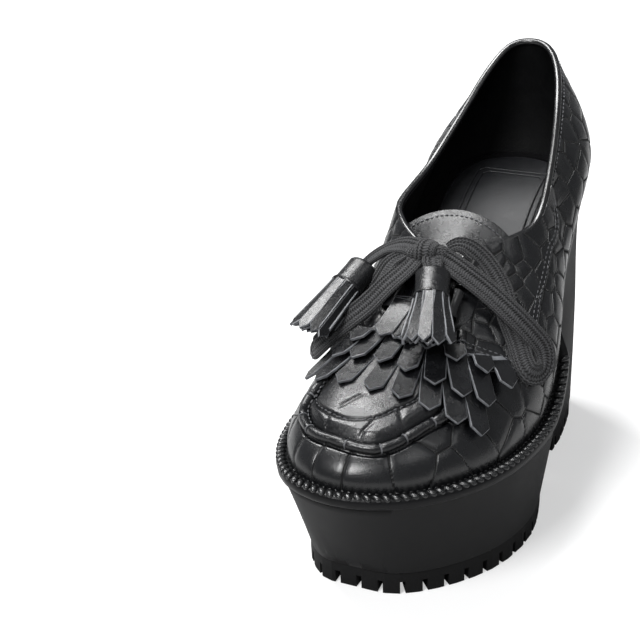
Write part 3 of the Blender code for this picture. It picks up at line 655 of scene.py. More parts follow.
# The lace: two free stretches, each a flat braid from the knot through a bow to a tassel.
lace = {
    "width": 0.0092, "thickness": 0.0020, "ribCount": 5, "ribDepth": 0.00026, "cup": 0.0006,
    "steps": 220, "ring": 56, "edgeRound": 0.7, "faceRound": 0.45,
    "knot": (-0.0030, 0.0935, 0.1114),
    "bowOuter": ((0.0050, 0.0952, 0.1132), (0.0078, 0.0968, 0.1145), (0.0118, 0.0985, 0.1132),
                 (0.0180, 0.0998, 0.1077), (0.0254, 0.0975, 0.0990), (0.0308, 0.0917, 0.0900),
                 (0.0362, 0.0866, 0.0828), (0.0398, 0.0826, 0.0774), (0.0427, 0.0812, 0.0738),
                 (0.0450, 0.0836, 0.0720), (0.0462, 0.0868, 0.0722), (0.0463, 0.0900, 0.0746),
                 (0.0448, 0.0914, 0.0795), (0.0405, 0.0902, 0.0855), (0.0325, 0.0890, 0.0935),
                 (0.0225, 0.0893, 0.1010), (0.0120, 0.0900, 0.1072), (0.0062, 0.0910, 0.1098)),
    "bowInner": ((-0.0118, 0.0908, 0.1098), (-0.0165, 0.0880, 0.1068), (-0.0225, 0.0868, 0.0970),
                 (-0.0292, 0.0838, 0.0882), (-0.0352, 0.0798, 0.0812), (-0.0400, 0.0752, 0.0755),
                 (-0.0418, 0.0708, 0.0732), (-0.0382, 0.0678, 0.0774), (-0.0312, 0.0692, 0.0848),
                 (-0.0215, 0.0745, 0.0935), (-0.0140, 0.0795, 0.1018), (-0.0088, 0.0862, 0.1068)),
    "endInner": ((-0.0105, 0.0945, 0.1122), (-0.0150, 0.0950, 0.1118), (-0.0200, 0.0955, 0.1098),
                 (-0.0250, 0.0955, 0.1065), (-0.0284, 0.0948, 0.1036), (-0.0303, 0.0934, 0.1012)),
    "endFront": ((0.0011, 0.0883, 0.1108), (0.0022, 0.0858, 0.1094), (0.0029, 0.0839, 0.1081)),
}
print("stage: helpers and camera")


def braidProfile(look, widthAlong=None):
    # flat braid with rounded edges and lengthwise ribs on both faces
    def profile(around, along):
        angle = 2 * np.pi * around
        wide = 0.5 * look["width"] * np.sign(np.cos(angle)) * np.abs(np.cos(angle)) ** look["edgeRound"]
        face = np.sign(np.sin(angle)) * np.abs(np.sin(angle)) ** look["faceRound"]
        rib = np.cos(wide / look["width"] * 2 * np.pi * look["ribCount"]) * look["ribDepth"]
        high = face * (0.5 * look["thickness"] + rib * np.abs(face))
        high = high + look["cup"] * (2 * wide / look["width"]) ** 2
        if widthAlong is not None:
            wide = wide * widthAlong(along)
        return wide, high
    return profile


def makeLace(name, route, faceHints, replaces):
    # faceHints: share of the length and the way the braid's flat face looks there
    path = curveThrough(placeAll(route), lace["steps"])
    shares = np.linspace(0, 1, len(path))
    hintAt = [h[0] for h in faceHints]
    face = np.column_stack([np.interp(shares, hintAt, [h[1][k] for h in faceHints])
                            for k in range(3)])
    side, up = sidesOf(path, unit(face))
    narrow = lambda t: np.interp(t, [0, 0.06, 0.94, 1.0], [0.55, 1.0, 1.0, 0.75])
    length = pathLength(path)
    bm = sweep(path, side, up, braidProfile(lace, narrow), lace["ring"],
               uvSize=(2 * (lace["width"] + lace["thickness"]) * 1000, length * 1000))
    piece = makePiece(name, bm, [wovenFinish], 60, replaces)
    return piece


# Tassels: a leather band over the lace's end and pointed strips below it
tassels = {
    "bandRadius": 0.0065, "bandFlat": 0.88, "bandLength": 0.0128,
    "stripWidth": 0.0049, "stripThick": 0.0012, "point": 0.0030,
    "layers": ((11, 1.0, 0.0, 0.0), (8, 0.70, 0.3, 0.0012), (5, 0.36, 0.1, 0.0022)),
    "flatness": 0.58, "slant": 0.0095, "rootShare": 0.84, "ragged": (-0.0013, 0.0009), "sway": 0.0006,
    "under": 0.0015, "lap": 0.05,
    "bandSteps": (-0.0004, 0.0, 0.0006, 0.0016, 0.0040, 0.0080, 0.0110, 0.0114, 0.0121, 0.0126, 0.0128),
    "bandSwell": (0.86, 0.97, 1.03, 1.02, 1.0, 1.0, 1.0, 1.08, 1.10, 1.06, 0.90),
    "inner": {"ends": ((-0.0304, 0.0930, 0.1008), (-0.0412, 0.0560, 0.0840)), "turn": 0.2,
              "spread": 0.0076},
    "front": {"ends": ((0.0034, 0.0826, 0.1072), (0.0140, 0.0495, 0.0905)), "turn": 0.05,
              "spread": 0.0090},
}


def leatherStrip(rows, halfWidth, thick, tip):
    # a flat pointed strip whose cut edges are painted pale, partly their raw tone and partly painted
    # highlight: rows are (middle, way to the side, way out)
    bm = bmesh.new()
    steps = len(rows)
    bmesh.ops.create_grid(bm, x_segments=4, y_segments=steps - 1, size=0.5)
    ends = rows[-1][0] - rows[-2][0]
    for vert in bm.verts:
        across = vert.co.x * 2
        index = int(round((vert.co.y + 0.5) * (steps - 1)))
        middle, side, _ = rows[index]
        spot = middle + side * across * halfWidth
        if index == steps - 1:
            spot = spot + unit(ends) * tip * (1 - abs(across))
        vert.co = spot
    bm.normal_update()
    ups = [Vector(row[2]) for row in rows]
    middles = [Vector(row[0]) for row in rows]

    def outAt(spot):
        return ups[min(range(steps), key=lambda i: (middles[i] - spot).length_squared)]
    first = next(iter(bm.faces))
    if first.normal.dot(outAt(first.calc_center_median())) < 0:
        bmesh.ops.reverse_faces(bm, faces=bm.faces)
    for vert in newVerts(bmesh.ops.extrude_face_region(bm, geom=bm.faces[:])):
        vert.co += outAt(vert.co) * thick
    facesOut(bm)
    rims = [e for e in bm.edges if foldAt(e, 0) > 60]
    bmesh.ops.bevel(bm, geom=rims, offset=thick * 0.20, offset_type="OFFSET", segments=1,
                    profile=0.5, affect="EDGES", clamp_overlap=True, material=-1)
    bm.normal_update()
    # side faces take the pale cut-edge colour: raw edge tone and painted highlight
    for face in bm.faces:
        if abs(face.normal.dot(outAt(face.calc_center_median()))) < 0.86:
            face.material_index = 1
    return bm


def makeTassel(name, look, node):
    top, tips = (np.array(place(*end)) for end in look["ends"])
    axis = unit(tips - top)
    length = np.linalg.norm(tips - top)
    side = unit(np.cross(axis, (0, 0, 1)))
    front = unit(np.cross(side, axis))
    bm = bmesh.new()
    # band, rolled over at its upper rim
    band = tassels["bandLength"]
    path = np.array([top + axis * t for t in tassels["bandSteps"]])
    radius, swell = tassels["bandRadius"], tassels["bandSwell"]

    def bandProfile(around, along):
        angle = 2 * np.pi * around
        size = radius * np.interp(along, np.linspace(0, 1, len(swell)), swell)
        lap = 1 + tassels["lap"] * smoothStep(0.0, 0.03, around) * (1 - smoothStep(0.03, 0.9, around))
        return size * np.cos(angle) * lap, size * np.sin(angle) * lap * tassels["bandFlat"]
    joinInto(bm, sweep(path, np.repeat([side], len(path), 0), np.repeat([front], len(path), 0),
                       bandProfile, 40), 0)
    rng = random.Random(node)
    root = radius * tassels["rootShare"]
    for number, size, turn, shorter in tassels["layers"]:
        for i in range(number):
            angle = 2 * math.pi * (i + 0.5) / number + look["turn"] + turn
            below = tassels["slant"] * (1 - math.sin(angle)) / 2
            reach = length - band - shorter - below - tassels["point"] + rng.uniform(*tassels["ragged"])
            lean = rng.uniform(-tassels["sway"], tassels["sway"])
            rows = []
            for share in np.linspace(0, 1, 8):
                flare = 0.25 * share + 0.75 * smoothStep(0, 1.15, share)
                wide = (root + (look["spread"] - root) * flare) * size
                narrow = root * tassels["bandFlat"]
                deep = (narrow + (look["spread"] * tassels["flatness"] - narrow) * flare) * size
                out = unit(side * math.cos(angle) * deep + front * math.sin(angle) * wide)
                spot = top + axis * (band - tassels["under"] + (reach + tassels["under"]) * share)
                spot = spot + side * (math.cos(angle) * wide + lean * share)
                spot = spot + front * math.sin(angle) * deep
                rows.append((spot, unit(np.cross(axis, out)), out))
            joinInto(bm, leatherStrip(rows, tassels["stripWidth"] / 2, tassels["stripThick"],
                                      tassels["point"]))
    return makePiece(name, bm, [smoothLeather, cutEdgeHighlight], 35, [node])


tasselInner = makeTassel("tasselInnerLeather", tassels["inner"], "tassel_inner")
tasselFront = makeTassel("tasselFrontLeather", tassels["front"], "tassel_front")

makeLace("laceOuter", lace["bowOuter"] + ((0.0030, 0.0905, 0.1112),) + lace["endFront"],
         ((0.0, (0.0, -0.5, 0.85)), (0.12, (0.4, -0.6, 0.7)), (0.30, (0.5, -0.6, 0.6)),
          (0.42, (0.6, -0.65, 0.4)), (0.50, (0.8, -0.6, 0.1)), (0.58, (0.55, -0.7, 0.45)),
          (0.75, (0.45, -0.65, 0.6)), (0.88, (0.2, -0.7, 0.7)), (1.0, (0.1, -0.7, 0.7))),
         ["lace_bow_outer", "lace_end_front"])
makeLace("laceInner", lace["bowInner"] + ((-0.0062, 0.0925, 0.1112),) + lace["endInner"],
         ((0.0, (-0.2, -0.5, 0.85)), (0.15, (-0.5, -0.7, 0.5)), (0.4, (-0.5, -0.8, 0.3)),
          (0.6, (-0.3, -0.85, 0.4)), (0.75, (-0.2, -0.7, 0.7)), (0.9, (-0.2, -0.2, 0.95)),
          (1.0, (-0.4, -0.3, 0.85))),
         ["lace_bow_inner", "lace_end_inner"])


knot = {"wrap": (0.0006, 0.0049, 0.0040), "leans": (("Y", 12), ("X", -18)), "width": 0.0088, "cup": -0.0006,
        "lumpSize": (0.0058, 0.0040, 0.0034),
        "lumps": ((-0.0036, -0.0006, -0.0004), (0.0040, 0.0004, 0.0002))}


def makeKnot():
    # the lace wrapped once round its own crossing
    centre = np.array(place(*lace["knot"]))
    bm = bmesh.new()
    angle = np.linspace(0, 2 * np.pi, 64, endpoint=False)
    first, second = (Matrix.Rotation(math.radians(turn), 3, axis) for axis, turn in knot["leans"])
    a, b, c = knot["wrap"]
    flat = np.column_stack([a * np.sin(2 * angle), b * np.cos(angle), c * np.sin(angle)])
    ringPath = centre + np.array([tuple(first @ second @ Vector(p)) for p in flat])
    outwards = unit(ringPath - centre)
    side, up = sidesOf(ringPath, outwards, True)
    wrap = dict(lace, width=knot["width"], cup=knot["cup"])
    joinInto(bm, sweep(ringPath, side, up, braidProfile(wrap), lace["ring"], closed=True,
                       uvSize=(22, 28)))
    for shift in knot["lumps"]:
        lump = bmesh.new()
        lump.loops.layers.uv.new("surface")
        bmesh.ops.create_uvsphere(lump, u_segments=24, v_segments=16, radius=1.0, calc_uvs=True)
        bmesh.ops.scale(lump, vec=knot["lumpSize"], verts=lump.verts)
        bmesh.ops.translate(lump, vec=Vector(centre) + Vector(shift), verts=lump.verts)
        scaleUv(lump, 30, 12)
        joinInto(bm, lump)
    return makePiece("laceKnot", bm, [wovenFinish], 60, ["lace_knot"])


makeKnot()

# The two bars of the lace that cross over the slit
crossing = {"width": 0.0060, "thickness": 0.0014, "cup": 0.0002, "reach": 0.0060, "from": 0.0806,
            "to": 0.0970, "low": 0.0913, "slope": 0.84, "over": 0.0012}


def makeCrossing():
    bm = bmesh.new()
    share = np.linspace(0, 1, 40)
    along = crossing["from"] + (crossing["to"] - crossing["from"]) * share
    hump = np.exp(-((share - 0.5) / 0.25) ** 2) * crossing["over"]
    bar = dict(lace, width=crossing["width"], thickness=crossing["thickness"], cup=crossing["cup"])
    for sign, lift in ((1, hump), (-1, 0)):
        across = sign * crossing["reach"] * (2 * share - 1)
        height = crossing["low"] + (along - crossing["from"]) * crossing["slope"] + lift
        path = np.column_stack([across, along - shoe["toeToOrigin"], height])
        face = np.repeat([(0.0, -0.64, 0.77)], len(path), 0)
        side, up = sidesOf(path, face)
        joinInto(bm, sweep(path, side, up, braidProfile(bar), lace["ring"],
                           uvSize=(2000 * (bar["width"] + bar["thickness"]), 1000 * pathLength(path))))
    makePiece("laceCrossing", bm, [wovenFinish], 60, ["lace_crossing"])


makeCrossing()
print("stage: laces and tassels")

# Scales embossed into the leather
scales = {
    "seed": 7, "candidates": 9000,
    "toeWall": ((-0.0285, 0.0215, 0.0598), (-0.0193, 0.0113, 0.0580), (-0.0089, 0.0080, 0.0585),
                (0.0052, 0.0084, 0.0580)),
    "vampSpacing": 0.0125, "quarterSpacing": 0.0082, "throatSpacing": 0.0042,
    "vampStretch": 1.25, "quarterStretch": 1.30, "toeStretch": 2.6, "toeSize": 0.016,
    "vampEnd": 0.075, "quarterStart": 0.11, "turnAt": 0.09, "vampLean": 0.6, "quarterLean": 0.1,
}


def scaleSpacing(points):
    along = alongOf(points)
    spacing = np.interp(along, [scales["vampEnd"], scales["quarterStart"]],
                        [scales["vampSpacing"], scales["quarterSpacing"]])
    _, v = onSkin(points)
    nearThroat = smoothStep(4.6, 8.6, v) * smoothStep(0.066, 0.082, along) \
        * (1 - smoothStep(0.104, 0.124, along))
    return spacing + (scales["throatSpacing"] - spacing) * nearThroat


def scaleSeeds():
    rng = np.random.default_rng(scales["seed"])
    u = rng.uniform(0, 60, scales["candidates"])
    v = rng.uniform(0, 10, scales["candidates"])
    spots = skin(u, v)
    onToe = (spots[:, 0] > -0.032) & (spots[:, 0] < 0.0115) \
        & (alongOf(spots) < 0.026)
    spots = spots[~onToe]
    spacing = scaleSpacing(spots)
    chosen = [np.array(place(*p)) for p in scales["toeWall"]]
    sizes = [scales["toeSize"]] * len(chosen)
    wall = len(chosen)
    for spot, size in zip(spots, spacing):
        near = np.linalg.norm(np.array(chosen) - spot, axis=1)
        if (near > 0.5 * (np.array(sizes) + size)).all():
            chosen.append(spot)
            sizes.append(size)
    chosen = np.array(chosen)
    u, v = onSkin(chosen)
    ahead, up = (unit(way) for way in skinWays(u, v, 0.1))
    onVamp = alongOf(chosen) < scales["turnAt"]
    lean = np.where(onVamp, scales["vampLean"], scales["quarterLean"]) * np.where(u < 30, -1, 1)
    way = unit(up + ahead * lean[:, None])
    way[:wall] = up[:wall]
    stretch = np.where(onVamp, scales["vampStretch"], scales["quarterStretch"])
    stretch[:wall] = scales["toeStretch"]
    return chosen, way, stretch, rng.uniform(0, 1, len(chosen))


seedSpots, seedWays, seedStretch, seedTones = scaleSeeds()
print("scales:", len(seedSpots))


def creaseField(points):
    # distance in metres to the nearest groove, and the scale's own tone
    distances = np.empty(len(points))
    tones = np.empty(len(points))
    for start in range(0, len(points), 4000):
        part = points[start:start + 4000]
        gap = part[:, None, :] - seedSpots[None]
        along = (gap * seedWays[None]).sum(-1)
        squared = (gap ** 2).sum(-1) - along ** 2 * (1 - 1 / seedStretch[None] ** 2)
        order = np.argpartition(squared, 1, axis=1)[:, :2]
        pair = np.take_along_axis(squared, order, 1)
        swap = pair[:, 0] > pair[:, 1]
        order[swap] = order[swap][:, ::-1]
        pair[swap] = pair[swap][:, ::-1]
        apart = seedSpots[order[:, 1]] - seedSpots[order[:, 0]]
        way = seedWays[order[:, 0]]
        stretch = seedStretch[order[:, 0]]
        run = (apart * way).sum(-1)
        measure = np.sqrt((apart ** 2).sum(-1) - run ** 2 * (1 - 1 / stretch ** 2))
        distances[start:start + 4000] = (pair[:, 1] - pair[:, 0]) / (2 * np.maximum(measure, 1e-5))
        tones[start:start + 4000] = seedTones[order[:, 0]]
    return distances, tones


def setAttribute(piece, name, values):
    layer = piece.data.attributes.new(name, "FLOAT", "POINT")
    layer.data.foreach_set("value", np.asarray(values, np.float32))


# The moc toe: a pinched lip round a smooth plug
moc = {
    "lip": ((0.0175, 0.0760, 0.0880), (0.0232, 0.0600, 0.0795), (0.0248, 0.0490, 0.0745),
            (0.0237, 0.0412, 0.0702), (0.0193, 0.0337, 0.0686), (0.0157, 0.0279, 0.0665),
            (0.0121, 0.0226, 0.0650), (0.0079, 0.0181, 0.0647), (0.0028, 0.0168, 0.0640),
            (-0.0032, 0.0168, 0.0640), (-0.0096, 0.0179, 0.0640), (-0.0164, 0.0194, 0.0645),
            (-0.0229, 0.0238, 0.0647), (-0.0285, 0.0318, 0.0653), (-0.0298, 0.0373, 0.0665),
            (-0.0288, 0.0443, 0.0698), (-0.0265, 0.0540, 0.0750), (-0.0215, 0.0700, 0.0840)),
    "inner": ((0.0140, 0.0620, 0.0830), (0.0145, 0.0500, 0.0770), (0.0121, 0.0417, 0.0730),
              (0.0069, 0.0352, 0.0710), (0.0016, 0.0295, 0.0690), (-0.0074, 0.0268, 0.0680),
              (-0.0172, 0.0300, 0.0680), (-0.0238, 0.0353, 0.0680), (-0.0262, 0.0440, 0.0700),
              (-0.0235, 0.0560, 0.0770), (-0.0190, 0.0660, 0.0820)),
    "lipWidth": 0.0038, "lipHeight": 0.0040, "lipLift": 0.0007,
    "pinchPitch": 0.0128, "pinchSpread": 0.22, "pinch": 0.22, "pinchLength": 0.0011,
    "puff": 0.06, "puffPitch": 0.0021, "tieThick": 0.0007, "tieShare": 0.44, "stitchGap": 0.0019,
    "fadeFrom": 0.058, "fadeTo": 0.072, "crownRise": 0.0007, "crownReach": 0.010,
    "seamWidth": 0.00055, "gutterAt": 0.0016, "gutterWidth": 0.0009, "outerGutterAt": -0.0020,
    "outerGutterWidth": 0.0008, "creaseReach": 0.0045,
    "creases": ((0.0012, 0.0235, 0.35, 0.0008, 0.0005), (-0.0150, 0.0245, -0.3, 0.0010, 0.0004),
                (-0.0100, 0.0345, 0.75, 0.0008, 0.0007), (0.0100, 0.0330, -0.5, 0.0012, 0.0004)),
    "gutter": 0.0010, "bandRise": 0.0024, "plugRise": 0.0014, "seamDepth": 0.0008, "seamLift": 0.0009,
    "lipStitch": {"pitch": 0.0027, "length": 0.0019, "thick": 0.0006},
    "seamStitch": {"pitch": 0.0025, "length": 0.0015, "thick": 0.0005},
}
lipPath, lipNormals = skinPath(moc["lip"], 260)
innerPath, innerNormals = skinPath(moc["inner"], 200)


def signedDistance(points, path):
    # to a path that is open at the back: positive inside it, seen from above
    distance = distanceTo(points, path)
    return np.where(insideLoop(points[:, 0], points[:, 1], path[:, :2]), distance, -distance)


def mocRelief(points):
    # height above the plain skin, and the distance inside the lip
    lip = signedDistance(points, lipPath[::3])
    inner = signedDistance(points, innerPath[::3])
    along = alongOf(points)
    fade = 1 - smoothStep(moc["fadeFrom"], moc["fadeTo"], along)
    band = smoothStep(0.0014, 0.0070, lip) * moc["bandRise"]
    panel = smoothStep(-0.0022, -0.0004, inner) * (moc["plugRise"] - moc["bandRise"])
    crown = smoothStep(0.0, moc["crownReach"], inner) * moc["crownRise"]
    seam = -moc["seamDepth"] * np.exp(-(inner / moc["seamWidth"]) ** 2)
    gutter = -moc["gutter"] * np.exp(-((lip - moc["gutterAt"]) / moc["gutterWidth"]) ** 2)
    outerGutter = -moc["gutter"] * np.exp(-((lip - moc["outerGutterAt"]) / moc["outerGutterWidth"]) ** 2)
    # creases across the band and the plug
    folds = 0
    for across, middle, turn, width, depth in moc["creases"]:
        dx = points[:, 0] - across
        dy = along - middle
        line = dx * math.cos(turn) - dy * math.sin(turn)
        run = dx * math.sin(turn) + dy * math.cos(turn)
        folds = folds - depth * np.exp(-(line / width) ** 2) * np.exp(-(run / moc["creaseReach"]) ** 4)
    inside = lip > 0
    relief = np.where(inside, band + panel + crown + seam + gutter + folds, outerGutter)
    return relief * fade, lip


# Facings: the overlays beside the throat. Lower edge from the slit forward to the corner and
# back up to the top line, on the outer side; the inner side mirrors it.
facing = {
    "edge": ((0.0128, 0.0716, 0.0862), (0.0169, 0.0706, 0.0851), (0.0195, 0.0702, 0.0841),
             (0.0271, 0.0726, 0.0810), (0.0344, 0.0761, 0.0773), (0.0390, 0.0769, 0.0735),
             (0.0433, 0.0785, 0.0684), (0.0420, 0.0850, 0.0735), (0.0405, 0.0930, 0.0790),
             (0.0393, 0.1020, 0.0845), (0.0380, 0.1107, 0.0905), (0.0371, 0.1207, 0.0971),
             (0.0359, 0.1292, 0.1036), (0.0358, 0.1358, 0.1063), (0.0350, 0.1413, 0.1110),
             (0.0325, 0.1450, 0.1190)),
    "corner": 6, "rise": 0.0009, "soft": 0.00028, "rows": (0.0012, 0.0030),
    "stitch": {"pitch": 0.0023, "length": 0.0016, "thick": 0.00048},
}


def facingPath(side):
    points = [(p[0] * side, p[1], p[2]) for p in facing["edge"]]
    corner = facing["corner"]
    front = curveThrough(placeAll(points[:corner + 1]), 60)
    back = curveThrough(placeAll(points[corner:]), 100)
    u, v = onSkin(np.vstack([front, back[1:]]))
    return u, v


facingPaths = {1: facingPath(1), -1: facingPath(-1)}


def insideFacing(u, v, points, side):
    # signed distance to the facing's lower edge, positive on the facing
    pathU, pathV = facingPaths[side]
    path = skin(pathU, pathV)
    middle = 15.0 if side > 0 else 45.0
    turned = (u - middle + 30) % 60 - 30
    turnedPath = (pathU - middle + 30) % 60 - 30
    loop = np.vstack([np.column_stack([turnedPath, pathV]), (turnedPath[-1], 14.0), (turnedPath[0], 14.0)])
    distance = distanceTo(points, path)
    return np.where(insideLoop(turned, v, loop), distance, -distance)


def facingDepth(u, v, points):
    deep = np.empty(len(u))
    for side in facingPaths:
        beside = (u % 60 < 30) == (side > 0)
        if beside.any():
            deep[beside] = insideFacing(u[beside], v[beside], points[beside], side)
    return deep


def nodeAxis(name):
    # the two ends of a straight packed tube, as the middles of its end rings
    points = np.array([v.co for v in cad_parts[name].data.vertices])
    middle = points.mean(axis=0)
    _, _, ways = np.linalg.svd(points - middle)
    away = (points - middle) @ ways[0]
    return points[away > 0.8 * away.max()].mean(axis=0), points[away < 0.8 * away.min()].mean(axis=0)


# A smooth D-shaped patch under each pair of rolled loops
patch = {"radius": 0.0088, "rise": 0.0006, "soft": 0.0003}


def patchDepth(points):
    depth = np.full(len(points), -1.0)
    for side in ("outer", "inner"):
        a, b = (sum(nodeAxis(f"lace_loop_{side}_{n}")) / 2 for n in (1, 2))
        depth = np.maximum(depth, patch["radius"] - distanceTo(points, (a, b)))
    return depth


wall = {
    "vampCells": (430, 222), "vampReach": 16.5, "quarterCells": (290, 200),
    "crown": 0.00015, "crownWidth": 0.0026, "grooveDepth": 0.00030, "grooveWidth": 0.0005,
    "thickness": 0.0017, "low": -0.25,
}


def scaleRelief(points):
    distance, tone = creaseField(points)
    relief = wall["crown"] * smoothStep(0.0, wall["crownWidth"], distance) \
        - wall["grooveDepth"] * (1 - smoothStep(0.0, wall["grooveWidth"], distance))
    return relief, distance, tone


def wallMesh(uRange, columns, rows):
    bm, s, t = gridMesh(columns, rows)
    v = wall["low"] + (shoe["wallRows"] - wall["low"]) * t
    return bm, uRange[0] + (uRange[1] - uRange[0]) * s, v, t


def closedWall(name, uRange, counts, materials, replaces=(), withMoc=False):
    # the outer face in fine cells, an inner face in coarse ones, and the rims between them
    columns, rows = counts
    bm, u, v, t = wallMesh(uRange, columns, rows)
    base, normals = skin(u, v), skinNormal(u, v)
    relief, distance, tone = scaleRelief(base)
    if withMoc:
        raised, lip = mocRelief(base)
        outside = 1 - smoothStep(-0.0015, 0.0, lip)
        relief = relief * outside + raised
        distance = np.where(lip > -0.0006, 0.01, distance)
    deep = facingDepth(u, v, base)
    relief = relief + facing["rise"] * smoothStep(-facing["soft"], facing["soft"], deep)
    # a groove line at the foot of the facing's step: a bump, plus painted shade darkening the step's foot
    distance = np.minimum(distance, np.abs(deep + 0.0003))
    deep = patchDepth(base)
    over = smoothStep(-patch["soft"], patch["soft"], deep)
    relief = relief + (facing["rise"] + patch["rise"] - relief) * over
    # likewise a line round the patch's rim: a groove's bump, plus painted shade
    distance = np.where(deep > 0, 0.01, np.minimum(distance, np.abs(deep - 0.0001) + 0.0001))
    edge = np.minimum(t * rows, 2)
    relief = relief * smoothStep(0, 2, edge)
    putVerts(bm, base + normals * relief[:, None])
    if withMoc:
        bm.verts.index_update()
        for face in bm.faces:
            if all(lip[v.index] > -0.0004 for v in face.verts):
                face.material_index = 1
    count = len(bm.verts)
    inner, u, v, _ = wallMesh(uRange, columns // 8, rows // 8)
    putVerts(inner, skin(u, v) - skinNormal(u, v) * wall["thickness"])
    bmesh.ops.reverse_faces(inner, faces=inner.faces)
    joinInto(bm, inner, len(materials) - 1)
    bmesh.ops.bridge_loops(bm, edges=openEdges(bm))
    facesOut(bm)
    total = len(bm.verts)
    print(name, "faces", len(bm.faces), "open edges", len(openEdges(bm)))
    piece = makePiece(name, bm, materials, 60, replaces)
    pad = np.zeros(total - count)
    setAttribute(piece, "crease", np.concatenate([distance * 1000, pad + 10]))
    setAttribute(piece, "tone", np.concatenate([tone, pad]))
    return piece


def makeFacingStitches():
    rows = []
    for way, (pathU, pathV) in facingPaths.items():
        path = skin(pathU, pathV)
        normals = skinNormal(pathU, pathV)
        side, _ = sidesOf(path, normals)
        for gap in facing["rows"]:
            for sign in (1, -1):
                row = path + side * gap * sign
                u, v = onSkin(row)
                keep = v < shoe["wallRows"] - 0.25
                # one place on the row tells whether it lies on the facing
                probe = slice(70, 71)
                if insideFacing(u[probe], v[probe], row[probe], way)[0] < 0:
                    continue
                deep = insideFacing(u, v, skin(u, v), way)
                keep &= deep > gap * 0.9
                out = skinNormal(u[keep], v[keep])
                where = skin(u[keep], v[keep]) + out * (facing["rise"] + 0.0001)
                rows.append((where, out, facing["stitch"]))
    stitchPiece("facingThread", rows, threadFinish)


makeFacingStitches()
reach = wall["vampReach"]
closedWall("vampWall", (-reach, reach), wall["vampCells"], [crocLeather, smoothLeather, liningLeather],
           ["upper"], withMoc=True)
for name, uRange in (("quarterOuter", (reach, 30.0)), ("quarterInner", (30.0, 60.0 - reach))):
    closedWall(name, uRange, wall["quarterCells"], [crocLeather, liningLeather])
print("stage: upper")


def makeLip():
    total = pathLength(lipPath)
    count = int(total / moc["pinchPitch"])
    rng = random.Random(3)
    spread = moc["pinchSpread"]
    pinches = [(i + 0.5 + rng.uniform(-spread, spread)) / count for i in range(count)]

    def profile(around, along):
        angle = 2 * np.pi * around
        tight = np.zeros_like(along)
        for p in pinches:
            tight = np.maximum(tight, np.exp(-((along - p) * total / moc["pinchLength"]) ** 2))
        size = 1 - moc["pinch"] * tight
        puffy = 1 + moc["puff"] * np.sin(along * total / moc["puffPitch"])
        wide = 0.5 * moc["lipWidth"] * np.cos(angle) * size * puffy
        high = 0.5 * moc["lipHeight"] * np.sin(angle) * size * puffy
        return wide, high + moc["lipLift"]
    side, up = sidesOf(lipPath, lipNormals)
    bm = sweep(lipPath, side, up, profile, 14)
    threads = bmesh.new()
    gutter = lipPath - side * moc["stitchGap"]
    inward = signedDistance(gutter[120:121], lipPath[::3])[0]
    if inward < 0:
        gutter = lipPath + side * moc["stitchGap"]
    u, v = onSkin(gutter)
    gutter = skin(u, v) + skinNormal(u, v) * 0.0001
    stitchMesh(threads, gutter, skinNormal(u, v), moc["lipStitch"])
    wide, high = moc["lipWidth"] * moc["tieShare"], moc["lipHeight"] * moc["tieShare"]
    for p in pinches:
        # a tie over the lip at each pinch
        i = int(p * (len(lipPath) - 1))
        arc = np.array([lipPath[i] + side[i] * math.cos(a) * wide
                        + up[i] * (math.sin(a) * high + moc["lipLift"])
                        for a in np.linspace(-0.15 * np.pi, 1.15 * np.pi, 9)])
        run = unit(lipPath[min(i + 1, len(lipPath) - 1)] - lipPath[max(i - 1, 0)])
        ways = np.repeat([run], len(arc), 0)
        joinInto(threads, rope(arc, ways, moc["tieThick"], moc["tieThick"], ring=6))
    makePiece("mocLip", bm, [smoothLeather], 60)
    makePiece("mocThread", threads, [threadFinish], 60)
    seam = (innerPath + innerNormals * moc["seamLift"], innerNormals, moc["seamStitch"])
    stitchPiece("plugThread", [seam], threadFinish)


makeLip()

# The top line: a folded edge with a row of stitches below it
topLine = {"width": 0.0031, "height": 0.0032, "stitchDrop": 0.0029, "stitchLift": 0.00025, "steps": 420,
           "stitch": {"pitch": 0.0021, "length": 0.0015, "thick": 0.00055}}


def makeTopLine():
    steps = topLine["steps"]
    u = np.linspace(0, 60, steps, endpoint=False)
    v = np.full(steps, float(shoe["wallRows"]))
    normals = skinNormal(u, v)
    edge = skin(u, v) - normals * wall["thickness"] / 2
    bm = rope(edge, normals, topLine["width"], topLine["height"], closed=True, ring=12)
    makePiece("toplineFold", bm, [glossLeather], 60)
    drop = topLine["stitchDrop"]
    lower = v - drop / np.linalg.norm(skin(u, v) - skin(u, v - 1), axis=1)
    ways = skinNormal(u, lower)
    row = skin(u, lower) + ways * topLine["stitchLift"]
    closed = (np.vstack([row, row[:1]]), np.vstack([ways, ways[:1]]), topLine["stitch"])
    stitchPiece("toplineThread", [closed], threadFinish)


makeTopLine()
print("stage: lip and top line")

